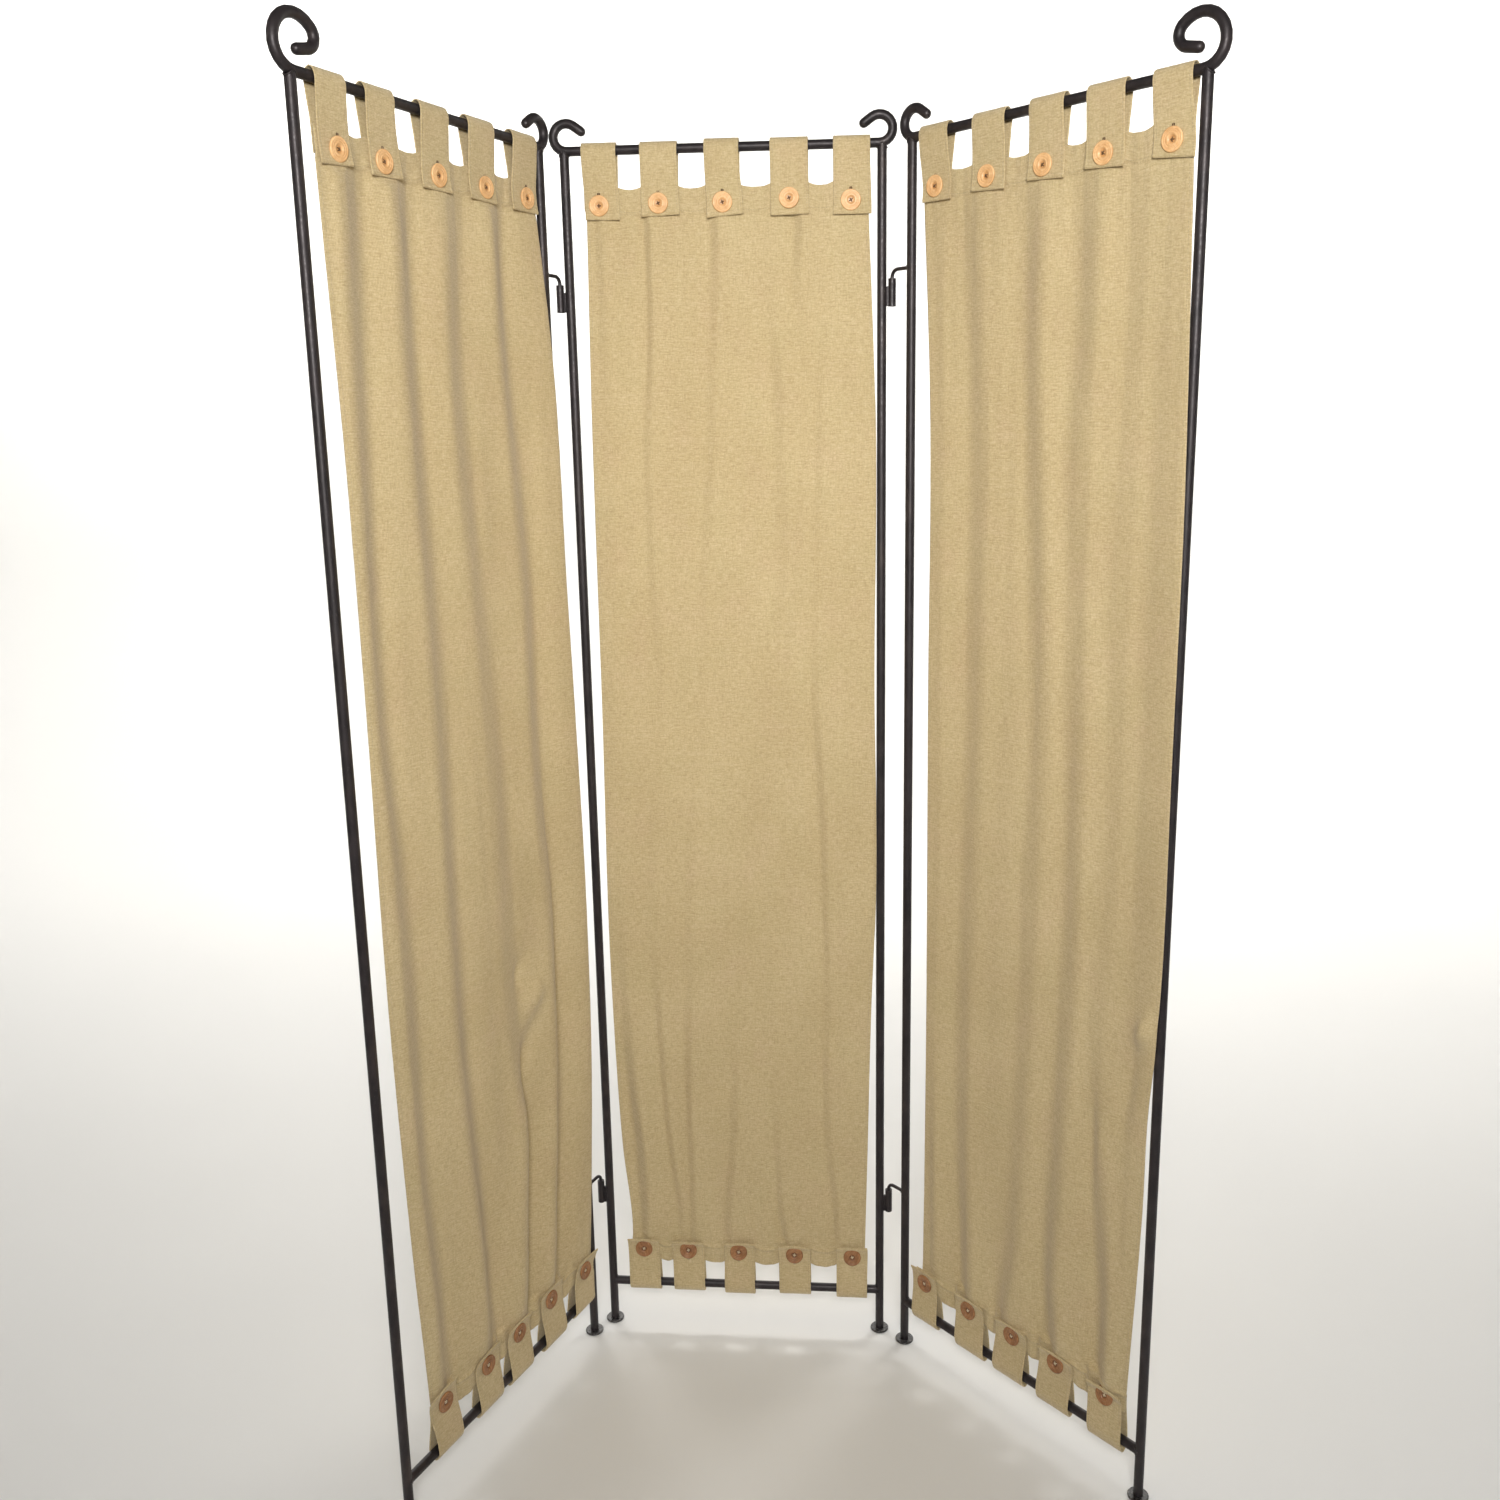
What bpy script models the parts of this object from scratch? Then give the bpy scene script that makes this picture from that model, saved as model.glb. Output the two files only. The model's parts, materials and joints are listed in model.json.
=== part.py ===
"""Three-panel folding screen: round iron frames with scrolled top rails, lift-off pintle hinges,
and a tab-top curtain buttoned on to the top and bottom rail of each frame.

World frame: metres, +Z up, floor at Z = 0, the middle frame parallel to X, its front facing -Y.
Each frame is built in its own panel frame: X runs from the left post's axis to the right post's,
Y = 0 is the plane of the bars, and -Y is the front, where the tabs are buttoned.
"""
import math

import bmesh
import bpy
from mathutils import Matrix, Vector

# ---- driving dimensions, metres and degrees
GAP = 0.0003                 # clearance between pieces that touch
BAR_RADIUS = 0.00635         # posts, rails and scrolls: half-inch round
TUBE_WALL = 0.0012
PANEL_WIDTH = 0.425          # post axis to post axis
TOP_RAIL_Z = 1.7656
BOTTOM_RAIL_Z = 0.0694
LEFT_FOLD = 68.5             # how far each side frame stands forward of a straight row
RIGHT_FOLD = 43.7

# scroll outlines: where the bend starts outboard of the post axis, (radius, turn) arcs, tail
BIG_SCROLL = {"start": -0.0059, "arcs": ((0.0254, 84), (0.0314, 140), (0.0133, 123)), "tail": 0.0218}
SMALL_HOOK = {"start": -0.0036, "arcs": ((0.0175, 215),), "tail": 0.0190}
TIP_ANGLES = (30, 55, 75)    # rings that round off a bar's end
ARC_STEP = 17                # degrees of bend between two points of a bar

HINGE_OFFSET = 0.0138        # middle post's axis to the hinge axis
HINGE_ARM = 0.0352           # hinge axis to the side post's axis
BARREL_RADIUS = 0.00525
BARREL_LENGTH = 0.036
BARREL_TOPS = {"upper": 1.5945, "lower": 0.2440}
WELD_PLATE_THICKNESS = 0.0035
WELD_PLATE_HEIGHT = 0.026
PIN_RADIUS = 0.0025
PIN_CLEARANCE = 0.0001
PIN_DEPTH = 0.032            # how far the pintle stands in its barrel
PIN_BEND = 0.010             # centre-line radius of the pintle's bend
PIN_RISE = 0.001             # bare pintle between the barrel and the bend
ROUND_STEPS = 24
BORE_STEPS = 16

FOOT_RADIUS = 0.014
FOOT_THICKNESS = 0.0035
FOOT_EDGE = 0.0009
SPIGOT_RADIUS = 0.0042
SPIGOT_LENGTH = 0.010
FOOT_STEPS = 20

CLOTH = 0.0015               # thickness of the curtain solid
FOLD_DEPTH = 0.008           # how far a fold stands off the plane of the bars
HEADER_DROP = 0.050          # top rail axis down to the curtain's top edge
TOP_FLAP_DROP = 0.087        # top rail axis down to the end of the buttoned flap
HEM_RISE = 0.038             # bottom rail axis up to the curtain's bottom edge
BOTTOM_FLAP_RISE = 0.082
BOTTOM_SLACK = 0.0035        # how far the lower tabs hang below the rail
TAB_WIDTH = 0.050
TAB_LOOP_RADIUS = 0.0078     # middle of the cloth where it goes round a rail
FLAP_Y = -0.0030             # middle of the flap where it lies on the curtain
FLAP_FLAT = 0.040            # length of the flap that lies flat, under the button
LOOP_STEPS = 6

BUTTON_RADIUS = 0.0139
BUTTON_THICKNESS = 0.0036
BUTTON_DISH = 0.0012
BUTTON_STEPS = 14

# centres of the tabs from the left post's axis, and the curtain's left and right edges; buttons are
# (from the left post's axis, from the rail's axis); belly is how far the edges bow outwards at mid
# height
CURTAINS = {
    "left": {"top_tabs": (0.0505, 0.1265, 0.2137, 0.2992, 0.3848), "top_edges": (0.0250, 0.4105),
             "bottom_tabs": (0.0770, 0.1640, 0.2350, 0.3170, 0.3925),
             "bottom_edges": (0.0505, 0.4180), "belly": (0.0, 0.002),
             "top_buttons": ((0.0550, 0.0680), (0.1245, 0.0690), (0.2160, 0.0690),
                             (0.3038, 0.0690), (0.3875, 0.0695)),
             "bottom_buttons": ((0.0740, 0.0650), (0.1624, 0.0580), (0.2333, 0.0605),
                                (0.3105, 0.0635), (0.3985, 0.0565))},
    "middle": {"top_tabs": (0.0491, 0.1284, 0.2142, 0.3018, 0.3850), "top_edges": (0.0235, 0.4105),
               "bottom_tabs": (0.0532, 0.1240, 0.2043, 0.2920, 0.3815),
               "bottom_edges": (0.0275, 0.4075), "belly": (0.008, 0.008),
               "top_buttons": ((0.0460, 0.0705), (0.1262, 0.0690), (0.2127, 0.0695),
                               (0.3019, 0.0665), (0.3840, 0.0710)),
               "bottom_buttons": ((0.0526, 0.0620), (0.1234, 0.0618), (0.2033, 0.0612),
                                  (0.2915, 0.0595), (0.3823, 0.0588))},
    "right": {"top_tabs": (0.0450, 0.1315, 0.2188, 0.3013, 0.3885), "top_edges": (0.0170, 0.4140),
              "bottom_tabs": (0.0478, 0.1360, 0.2085, 0.2868, 0.3730),
              "bottom_edges": (0.0222, 0.3985), "belly": (-0.006, 0.008),
              "top_buttons": ((0.0450, 0.0660), (0.1294, 0.0660), (0.2151, 0.0660),
                              (0.2998, 0.0660), (0.3891, 0.0660)),
              "bottom_buttons": ((0.0470, 0.0562), (0.1330, 0.0562), (0.2135, 0.0585),
                                 (0.2905, 0.0585), (0.3710, 0.0562))},
}
# height of each row of the curtain, as a share of its drop, and the share of the full fold there
CURTAIN_ROWS = ((0.0, 0.0), (0.024, 0.0), (0.06, 0.5), (0.17, 1.0), (0.34, 1.0), (0.52, 0.9),
                (0.70, 1.0), (0.86, 1.0), (0.935, 0.4), (0.97, 0.0), (1.0, 0.0))

IRON = ("aged_iron", (0.045, 0.038, 0.042, 1.0), 0.45, 0.7)
GLIDE = ("dark_glide", (0.05, 0.045, 0.045, 1.0), 0.25, 0.0)
LINEN = ("natural_linen", (0.62, 0.49, 0.29, 1.0), 0.9, 0.0)
PALE_WOOD = ("pale_wood", (0.80, 0.46, 0.18, 1.0), 0.5, 0.0)
BROWN_WOOD = ("brown_wood", (0.45, 0.22, 0.09, 1.0), 0.45, 0.0)


def clear_scene():
    for old in list(bpy.data.objects):
        bpy.data.objects.remove(old, do_unlink=True)


def new_collection(name):
    collection = bpy.data.collections.new(name)
    bpy.context.scene.collection.children.link(collection)
    return collection


def make_material(spec):
    name, colour, roughness, metallic = spec
    material = bpy.data.materials.new(name)
    material.use_nodes = True
    shader = material.node_tree.nodes["Principled BSDF"]
    shader.inputs["Base Color"].default_value = colour
    shader.inputs["Roughness"].default_value = roughness
    shader.inputs["Metallic"].default_value = metallic
    material.diffuse_color = colour
    return material


def empty(name, parent=None, location=(0, 0, 0), turn=0.0):
    guide = bpy.data.objects.new(name, None)
    guide.empty_display_size = 0.05
    guide.location = location
    guide.rotation_euler = (0, 0, math.radians(turn))
    guide.parent = parent
    parts.objects.link(guide)
    return guide


def place(name, data, material, parent, location=(0, 0, 0), rotation=(0, 0, 0)):
    """An object for one sub-part, under its panel's or hinge's empty."""
    obj = bpy.data.objects.new(name, data)
    data.materials.append(material)
    obj.parent = parent
    obj.location = location
    obj.rotation_euler = rotation
    parts.objects.link(obj)
    return obj


def place_cutter(name, mesh, parent, location=(0, 0, 0), rotation=(0, 0, 0)):
    cutter = bpy.data.objects.new(name, mesh)
    cutter.parent = parent
    cutter.location = location
    cutter.rotation_euler = rotation
    cutter.hide_render = True
    cutter.display_type = "WIRE"
    cutters.objects.link(cutter)
    return cutter


def boolean(obj, cutter, operation="DIFFERENCE"):
    cut = obj.modifiers.new(operation.title(), "BOOLEAN")
    cut.operation = operation
    cut.object = cutter
    cut.solver = "EXACT"


def screw(obj, steps):
    turn = obj.modifiers.new("Screw", "SCREW")
    turn.axis = "Z"
    turn.angle = math.tau
    turn.steps = steps
    turn.render_steps = steps
    turn.use_merge_vertices = True
    turn.merge_threshold = 0.00001
    turn.use_smooth_shade = False


def profile_mesh(name, points, closed=False):
    """The (x, z) outline of a turned piece, running down its outer side."""
    mesh = bpy.data.meshes.new(name)
    count = len(points)
    edges = [(i, i + 1) for i in range(count - 1)]
    if closed:
        edges.append((count - 1, 0))
    mesh.from_pydata([(x, 0.0, z) for x, z in points], edges, [])
    return mesh


def cylinder_mesh(name, radius, length, steps):
    """A solid cylinder on the Z axis, centred on its own origin."""
    mesh = bpy.data.meshes.new(name)
    shape = bmesh.new()
    bmesh.ops.create_cone(shape, cap_ends=True, segments=steps, radius1=radius, radius2=radius,
                          depth=length)
    shape.to_mesh(mesh)
    shape.free()
    return mesh


def box_mesh(name, size):
    mesh = bpy.data.meshes.new(name)
    shape = bmesh.new()
    bmesh.ops.create_cube(shape, size=1.0, matrix=Matrix.Diagonal((*size, 1.0)))
    shape.to_mesh(mesh)
    shape.free()
    return mesh


def tube_profile(bottom, top):
    inner = BAR_RADIUS - TUBE_WALL
    return [(BAR_RADIUS, top), (BAR_RADIUS, bottom), (inner, bottom), (inner, top)]


def rod_curve(name, points, radius, resolution, round_ends=False):
    """A round bar along straight and bent stretches, with rounded tips if asked for."""
    points = [Vector(point) for point in points]
    widths = [1.0] * len(points)
    if round_ends:
        points, widths = add_tips(points, radius)
    curve = bpy.data.curves.new(name, "CURVE")
    curve.dimensions = "3D"
    curve.bevel_depth = radius
    curve.bevel_resolution = resolution
    curve.use_fill_caps = True
    spline = curve.splines.new("POLY")
    spline.points.add(len(points) - 1)
    for target, point, width in zip(spline.points, points, widths):
        target.co = (*point, 1.0)
        target.radius = width
    return curve


def add_tips(points, radius):
    """Pulls both ends in by a radius and closes them with narrowing rings."""
    rings = [(math.sin(math.radians(a)), math.cos(math.radians(a))) for a in TIP_ANGLES]
    first_way = (points[0] - points[1]).normalized()
    last_way = (points[-1] - points[-2]).normalized()
    first = points[0] - first_way * radius
    last = points[-1] - last_way * radius
    head = [first + first_way * radius * s for s, _ in reversed(rings)]
    tail = [last + last_way * radius * s for s, _ in rings]
    narrow = [c for _, c in rings]
    middle = [first, *points[1:-1], last]
    widths = [*reversed(narrow), *([1.0] * len(middle)), *narrow]
    return [*head, *middle, *tail], widths


def scroll_points(shape):
    """(outward, up) points of a rail's end from the start of its bend to its tip."""
    x, z, heading = shape["start"], 0.0, 0.0
    points = [(x, z)]
    for radius, turn in shape["arcs"]:
        steps = math.ceil(turn / ARC_STEP)
        centre_x = x - radius * math.sin(heading)
        centre_z = z + radius * math.cos(heading)
        for step in range(1, steps + 1):
            angle = heading + math.radians(turn) * step / steps
            points.append((centre_x + radius * math.sin(angle), centre_z - radius * math.cos(angle)))
        x, z = points[-1]
        heading += math.radians(turn)
    points.append((x + shape["tail"] * math.cos(heading), z + shape["tail"] * math.sin(heading)))
    return points


def add_posts(panel, names):
    """Two upright tubes, each coped over at the top to sit against the underside of the rail."""
    cope = cylinder_mesh("cope_shape", BAR_RADIUS + GAP, 4 * BAR_RADIUS, ROUND_STEPS)
    for name, x in zip(names, (0.0, PANEL_WIDTH)):
        outline = profile_mesh(name, tube_profile(FOOT_THICKNESS + GAP, TOP_RAIL_Z), closed=True)
        post = place(name, outline, iron, panel, (x, 0, 0))
        screw(post, ROUND_STEPS)
        cutter = place_cutter(name + "_cope", cope, panel, (x, 0, TOP_RAIL_Z),
                              (0, math.pi / 2, 0))
        boolean(post, cutter)


def add_top_rail(panel, name, left_end, right_end):
    left = [(-x, 0, TOP_RAIL_Z + z) for x, z in reversed(scroll_points(left_end))]
    right = [(PANEL_WIDTH + x, 0, TOP_RAIL_Z + z) for x, z in scroll_points(right_end)]
    place(name, rod_curve(name, left + right, BAR_RADIUS, 4, round_ends=True), iron, panel)


def add_bottom_rail(panel, name):
    """A tube from post to post, with both ends coped round the posts."""
    outline = profile_mesh(name, tube_profile(0.0, PANEL_WIDTH), closed=True)
    rail = place(name, outline, iron, panel, (0, 0, BOTTOM_RAIL_Z), (0, math.pi / 2, 0))
    screw(rail, ROUND_STEPS)
    cope = cylinder_mesh("post_shape", BAR_RADIUS + GAP, 4 * BAR_RADIUS, ROUND_STEPS)
    for side, x in (("left", 0.0), ("right", PANEL_WIDTH)):
        cutter = place_cutter(f"{name}_{side}_cope", cope, panel, (x, 0, BOTTOM_RAIL_Z))
        boolean(rail, cutter)


def add_feet(panel, names):
    """Round glides with a spigot that plugs into the post."""
    top = FOOT_THICKNESS + SPIGOT_LENGTH
    outline = [(0.0, top), (SPIGOT_RADIUS, top), (SPIGOT_RADIUS, FOOT_THICKNESS),
               (FOOT_RADIUS - FOOT_EDGE, FOOT_THICKNESS), (FOOT_RADIUS, FOOT_THICKNESS - FOOT_EDGE),
               (FOOT_RADIUS, FOOT_EDGE), (FOOT_RADIUS - FOOT_EDGE, 0.0), (0.0, 0.0)]
    for name, x in zip(names, (0.0, PANEL_WIDTH)):
        foot = place(name, profile_mesh(name, outline), glide, panel, (x, 0, 0))
        screw(foot, FOOT_STEPS)


def add_barrel(panel, name, post_x, outward, top):
    """A hinge barrel on the middle frame, with the plate that welds it to the post."""
    axis_x = post_x + outward * HINGE_OFFSET
    centre_z = top - BARREL_LENGTH / 2
    body = cylinder_mesh(name, BARREL_RADIUS, BARREL_LENGTH, ROUND_STEPS)
    barrel = place(name, body, iron, panel, (axis_x, 0, centre_z))
    reach = HINGE_OFFSET - BAR_RADIUS - GAP
    plate = box_mesh(name + "_plate", (reach, WELD_PLATE_THICKNESS, WELD_PLATE_HEIGHT))
    plate_z = top - BARREL_LENGTH + WELD_PLATE_HEIGHT / 2 + GAP
    joined = place_cutter(name + "_plate", plate, panel, (axis_x - outward * reach / 2, 0, plate_z))
    boolean(barrel, joined, "UNION")
    bore_radius = (PIN_RADIUS + PIN_CLEARANCE) / math.cos(math.pi / BORE_STEPS)
    bore = cylinder_mesh(name + "_bore", bore_radius, 2 * BARREL_LENGTH, BORE_STEPS)
    boolean(barrel, place_cutter(name + "_bore", bore, panel, (axis_x, 0, centre_z)))


def add_pintle(panel, name, post_x, outward, barrel_top):
    """A bent rod: out of the side post, then down into the barrel."""
    rod_z = barrel_top + PIN_RISE + PIN_BEND
    bend_x = HINGE_ARM - PIN_BEND
    path = [(BAR_RADIUS + GAP, rod_z), (bend_x, rod_z)]
    for angle in range(15, 91, 15):
        turn = math.radians(angle)
        path.append((bend_x + PIN_BEND * math.sin(turn), rod_z - PIN_BEND * (1 - math.cos(turn))))
    path.append((HINGE_ARM, barrel_top - PIN_DEPTH))
    points = [(post_x + outward * x, 0, z) for x, z in path]
    place(name, rod_curve(name, points, PIN_RADIUS, 4), iron, panel)


def add_frame(panel, side, post_names, left_end, right_end):
    add_posts(panel, [f"{name}_post" for name in post_names])
    add_feet(panel, [f"{name}_foot" for name in post_names])
    add_top_rail(panel, f"{side}_top_rail", left_end, right_end)
    add_bottom_rail(panel, f"{side}_bottom_rail")


def column_edges(centres, edges):
    """Where the curtain's columns stand: its edges, the sides of each tab, and mid-window."""
    xs = [edges[0]]
    for index, centre in enumerate(centres):
        if index:
            xs.append((centres[index - 1] + centre) / 2)
        xs.extend((centre - TAB_WIDTH / 2, centre + TAB_WIDTH / 2))
    xs.append(edges[1])
    return xs


def fold_pattern(count):
    """-1 at a tab, where the cloth stands forward, +1 mid-window, 0 at the curtain's edges."""
    return [0] + [1 if index % 3 == 0 else -1 for index in range(1, count - 1)] + [0]


def tab_path(rail_z, attach, flap_end, slack, up):
    """(y, z) of a tab from the curtain's edge, behind and round the rail, and back as a flap.

    up is +1 for a tab over the top rail and -1 for one under the bottom rail.
    """
    path = [(TAB_LOOP_RADIUS, rail_z)] if slack else []
    for step in range(LOOP_STEPS + 1):
        angle = math.pi * step / LOOP_STEPS
        z = rail_z - slack + up * TAB_LOOP_RADIUS * math.sin(angle)
        path.append((TAB_LOOP_RADIUS * math.cos(angle), z))
    path.append((FLAP_Y, rail_z - up * (flap_end - FLAP_FLAT)))
    path.append((FLAP_Y, rail_z - up * flap_end))
    return path


def add_tab(shape, left_vertex, right_vertex, path, front_face_up):
    """Carries a strip on from two vertices of the curtain's edge."""
    left, right = left_vertex, right_vertex
    for y, z in path:
        next_left = shape.verts.new((left_vertex.co.x, y, z))
        next_right = shape.verts.new((right_vertex.co.x, y, z))
        corners = (left, right, next_right, next_left)
        shape.faces.new(corners if front_face_up else corners[::-1])
        left, right = next_left, next_right


def add_curtain(panel, name, layout):
    """One cloth: a folded sheet between two rails, with a strip round each rail at every tab."""
    mesh = bpy.data.meshes.new(name)
    shape = bmesh.new()
    top_xs = column_edges(layout["top_tabs"], layout["top_edges"])
    bottom_xs = column_edges(layout["bottom_tabs"], layout["bottom_edges"])
    pattern = fold_pattern(len(top_xs))
    top_z = TOP_RAIL_Z - HEADER_DROP
    bottom_z = BOTTOM_RAIL_Z + HEM_RISE
    rows = []
    for share, fold in CURTAIN_ROWS:
        bow = math.sin(math.pi * share)
        row = []
        for index, (top_x, bottom_x, side) in enumerate(zip(top_xs, bottom_xs, pattern)):
            across = index / (len(top_xs) - 1)
            belly = across * layout["belly"][1] - (1 - across) * layout["belly"][0]
            x = top_x + (bottom_x - top_x) * share + belly * bow
            z = top_z + (bottom_z - top_z) * share
            row.append(shape.verts.new((x, side * fold * FOLD_DEPTH, z)))
        rows.append(row)
    for upper, lower in zip(rows, rows[1:]):
        for index in range(len(upper) - 1):
            shape.faces.new((upper[index], lower[index], lower[index + 1], upper[index + 1]))
    top_path = tab_path(TOP_RAIL_Z, HEADER_DROP, TOP_FLAP_DROP, 0.0, 1)
    bottom_path = tab_path(BOTTOM_RAIL_Z, HEM_RISE, BOTTOM_FLAP_RISE, BOTTOM_SLACK, -1)
    for tab in range(len(layout["top_tabs"])):
        column = 3 * tab + 1
        add_tab(shape, rows[0][column], rows[0][column + 1], top_path, True)
        add_tab(shape, rows[-1][column], rows[-1][column + 1], bottom_path, False)
    shape.to_mesh(mesh)
    shape.free()
    curtain = place(name, mesh, linen, panel)
    thicken = curtain.modifiers.new("Solidify", "SOLIDIFY")
    thicken.thickness = CLOTH
    thicken.offset = 0.0
    thicken.use_even_offset = True


def add_buttons(panel, side, layout):
    """Dished round buttons, flat against the front of the flaps."""
    rim = BUTTON_RADIUS * 0.86
    dish = BUTTON_RADIUS * 0.62
    outline = [(0.0, BUTTON_THICKNESS - BUTTON_DISH), (dish, BUTTON_THICKNESS - BUTTON_DISH),
               (rim, BUTTON_THICKNESS), (BUTTON_RADIUS, BUTTON_THICKNESS / 2), (rim, 0.0), (0.0, 0.0)]
    back_y = FLAP_Y - CLOTH / 2 - GAP
    rows = (("top", TOP_RAIL_Z, -1, pale_wood), ("bottom", BOTTOM_RAIL_Z, 1, brown_wood))
    for row, rail_z, way, wood in rows:
        for index, (x, off_rail) in enumerate(layout[f"{row}_buttons"]):
            name = f"{side}_{row}_button_{index + 1}"
            spot = (x, back_y, rail_z + way * off_rail)
            button = place(name, profile_mesh(name, outline), wood, panel, spot,
                           (math.pi / 2, 0, 0))
            screw(button, BUTTON_STEPS)


def add_cloth(panel, side):
    layout = CURTAINS[side]
    add_curtain(panel, f"{side}_curtain", layout)
    add_buttons(panel, side, layout)


def build_screen():
    screen = empty("screen")
    half = PANEL_WIDTH / 2
    middle = empty("middle_panel", screen, (-half, 0, 0))
    left_hinge = empty("left_fold_axis", screen, (-half - HINGE_OFFSET, 0, 0), LEFT_FOLD)
    right_hinge = empty("right_fold_axis", screen, (half + HINGE_OFFSET, 0, 0), -RIGHT_FOLD)
    left = empty("left_panel", left_hinge, (-HINGE_ARM - PANEL_WIDTH, 0, 0))
    right = empty("right_panel", right_hinge, (HINGE_ARM, 0, 0))

    add_frame(middle, "middle", ("middle_left", "middle_right"), SMALL_HOOK, SMALL_HOOK)
    add_frame(left, "left", ("left_outer", "left_inner"), BIG_SCROLL, SMALL_HOOK)
    add_frame(right, "right", ("right_inner", "right_outer"), SMALL_HOOK, BIG_SCROLL)
    for level, top in BARREL_TOPS.items():
        add_barrel(middle, f"{level}_left_hinge_barrel", 0.0, -1, top)
        add_barrel(middle, f"{level}_right_hinge_barrel", PANEL_WIDTH, 1, top)
        add_pintle(left, f"{level}_left_pintle", PANEL_WIDTH, 1, top)
        add_pintle(right, f"{level}_right_pintle", 0.0, -1, top)
    for panel, side in ((left, "left"), (middle, "middle"), (right, "right")):
        add_cloth(panel, side)
    return screen


def centre_on_floor(screen):
    """Moves the screen so that the middle of its bounding box stands over the origin."""
    bpy.context.view_layer.update()
    graph = bpy.context.evaluated_depsgraph_get()
    xs, ys = [], []
    for obj in parts.objects:
        if obj.type == "EMPTY":
            continue
        final = obj.evaluated_get(graph)
        mesh = final.to_mesh()
        for vertex in mesh.vertices:
            point = final.matrix_world @ vertex.co
            xs.append(point.x)
            ys.append(point.y)
        final.to_mesh_clear()
    screen.location = (-(min(xs) + max(xs)) / 2, -(min(ys) + max(ys)) / 2, 0)
    bpy.context.view_layer.update()


def shade_round_pieces():
    for obj in parts.objects:
        if obj.type == "MESH":
            obj.data.shade_smooth()


clear_scene()
parts = new_collection("folding_screen")
cutters = new_collection("cutters")
iron = make_material(IRON)
glide = make_material(GLIDE)
linen = make_material(LINEN)
pale_wood = make_material(PALE_WOOD)
brown_wood = make_material(BROWN_WOOD)
centre_on_floor(build_screen())
shade_round_pieces()
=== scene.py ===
"""Looks of the folding screen: linen curtains with buttoned tabs, hung on blackened iron frames.

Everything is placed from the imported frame. Each panel has its own axes, read from the boxes of its
posts and rails: u runs right along the rails from the left post's axis, y runs backwards and z up.
Lengths are metres, except in the tables that say millimetres.
"""
import json
import math
import random

import bpy
import numpy as np
from mathutils import Matrix, Vector, noise

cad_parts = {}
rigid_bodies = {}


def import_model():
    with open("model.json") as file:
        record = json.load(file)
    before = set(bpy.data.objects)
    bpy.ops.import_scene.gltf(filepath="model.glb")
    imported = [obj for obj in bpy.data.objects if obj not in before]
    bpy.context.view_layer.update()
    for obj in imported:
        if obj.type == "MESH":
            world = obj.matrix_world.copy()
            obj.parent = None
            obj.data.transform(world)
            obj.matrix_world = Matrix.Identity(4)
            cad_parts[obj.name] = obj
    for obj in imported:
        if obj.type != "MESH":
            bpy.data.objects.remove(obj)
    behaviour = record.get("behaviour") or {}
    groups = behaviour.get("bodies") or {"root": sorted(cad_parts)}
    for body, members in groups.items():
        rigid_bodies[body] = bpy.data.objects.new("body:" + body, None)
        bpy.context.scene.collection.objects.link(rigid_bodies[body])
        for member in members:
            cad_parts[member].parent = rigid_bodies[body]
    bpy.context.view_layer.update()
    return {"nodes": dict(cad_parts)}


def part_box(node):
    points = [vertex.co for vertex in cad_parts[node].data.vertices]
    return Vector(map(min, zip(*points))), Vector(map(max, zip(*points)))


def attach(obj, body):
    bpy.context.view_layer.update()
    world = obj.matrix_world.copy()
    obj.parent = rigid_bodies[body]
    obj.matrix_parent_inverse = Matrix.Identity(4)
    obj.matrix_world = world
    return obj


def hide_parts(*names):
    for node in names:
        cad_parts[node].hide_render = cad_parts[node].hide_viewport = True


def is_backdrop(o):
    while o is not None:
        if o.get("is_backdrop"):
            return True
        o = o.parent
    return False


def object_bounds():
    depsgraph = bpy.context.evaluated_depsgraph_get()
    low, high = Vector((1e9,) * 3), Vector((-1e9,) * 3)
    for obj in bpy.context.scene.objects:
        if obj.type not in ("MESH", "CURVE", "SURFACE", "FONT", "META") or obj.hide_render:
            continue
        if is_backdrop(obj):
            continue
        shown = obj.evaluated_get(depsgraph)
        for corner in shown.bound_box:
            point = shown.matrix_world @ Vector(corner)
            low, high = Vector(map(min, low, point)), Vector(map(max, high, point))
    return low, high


SIDES = {"left": ("left_outer_post", "left_inner_post"),
         "middle": ("middle_left_post", "middle_right_post"),
         "right": ("right_inner_post", "right_outer_post")}
TABS = 5

# ---- camera, from a fit to places read off the photo: where it stands from the middle of the middle
# panel's foot line, how it is turned in degrees, and its lens
CAMERA_OFFSET = (0.2244, -1.8480, 1.3887)
CAMERA_YAW = -4.46
CAMERA_PITCH = 11.84
CAMERA_ROLL = -0.71
LENS_MM = 31.53
SENSOR_MM = 36.0
SHIFT = (-0.0259, -0.0253)

# ---- curtain body
ROWS = 268
END_ROWS = 34
COLUMNS = 132
END_COLUMNS = 10
CLOTH_THICKNESS = 0.0009
HEADER_DROP = 0.0495         # rail axis to the header's edge, half way between two tabs
HEADER_RISE = 0.0045         # how much higher the edge is drawn beside a tab
HEADER_BAND = 0.0325         # header's edge to its seam
HEM_RISE = 0.0400            # lower rail's axis to the hem's edge
HEM_SAG = 0.0060
HEM_BAND = 0.0270
HEM_RIDGE = 0.0020           # how far the hem's folded edge stands out along its seam
SIDE_HEM = 0.0110
END_BAND = 0.050             # height of the finer rows at each end
BORDER = 0.036               # width of the finer columns at each side, as a share
FOLD_FADE = 0.022            # the folds fade out this far from a side
EDGE_REACH = 2.6 * FOLD_FADE  # a side's own y reaches this far in
GATHER_PITCH = 0.0165        # small gathers at the header and hem
GATHER_DEPTH = 0.00045

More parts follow.
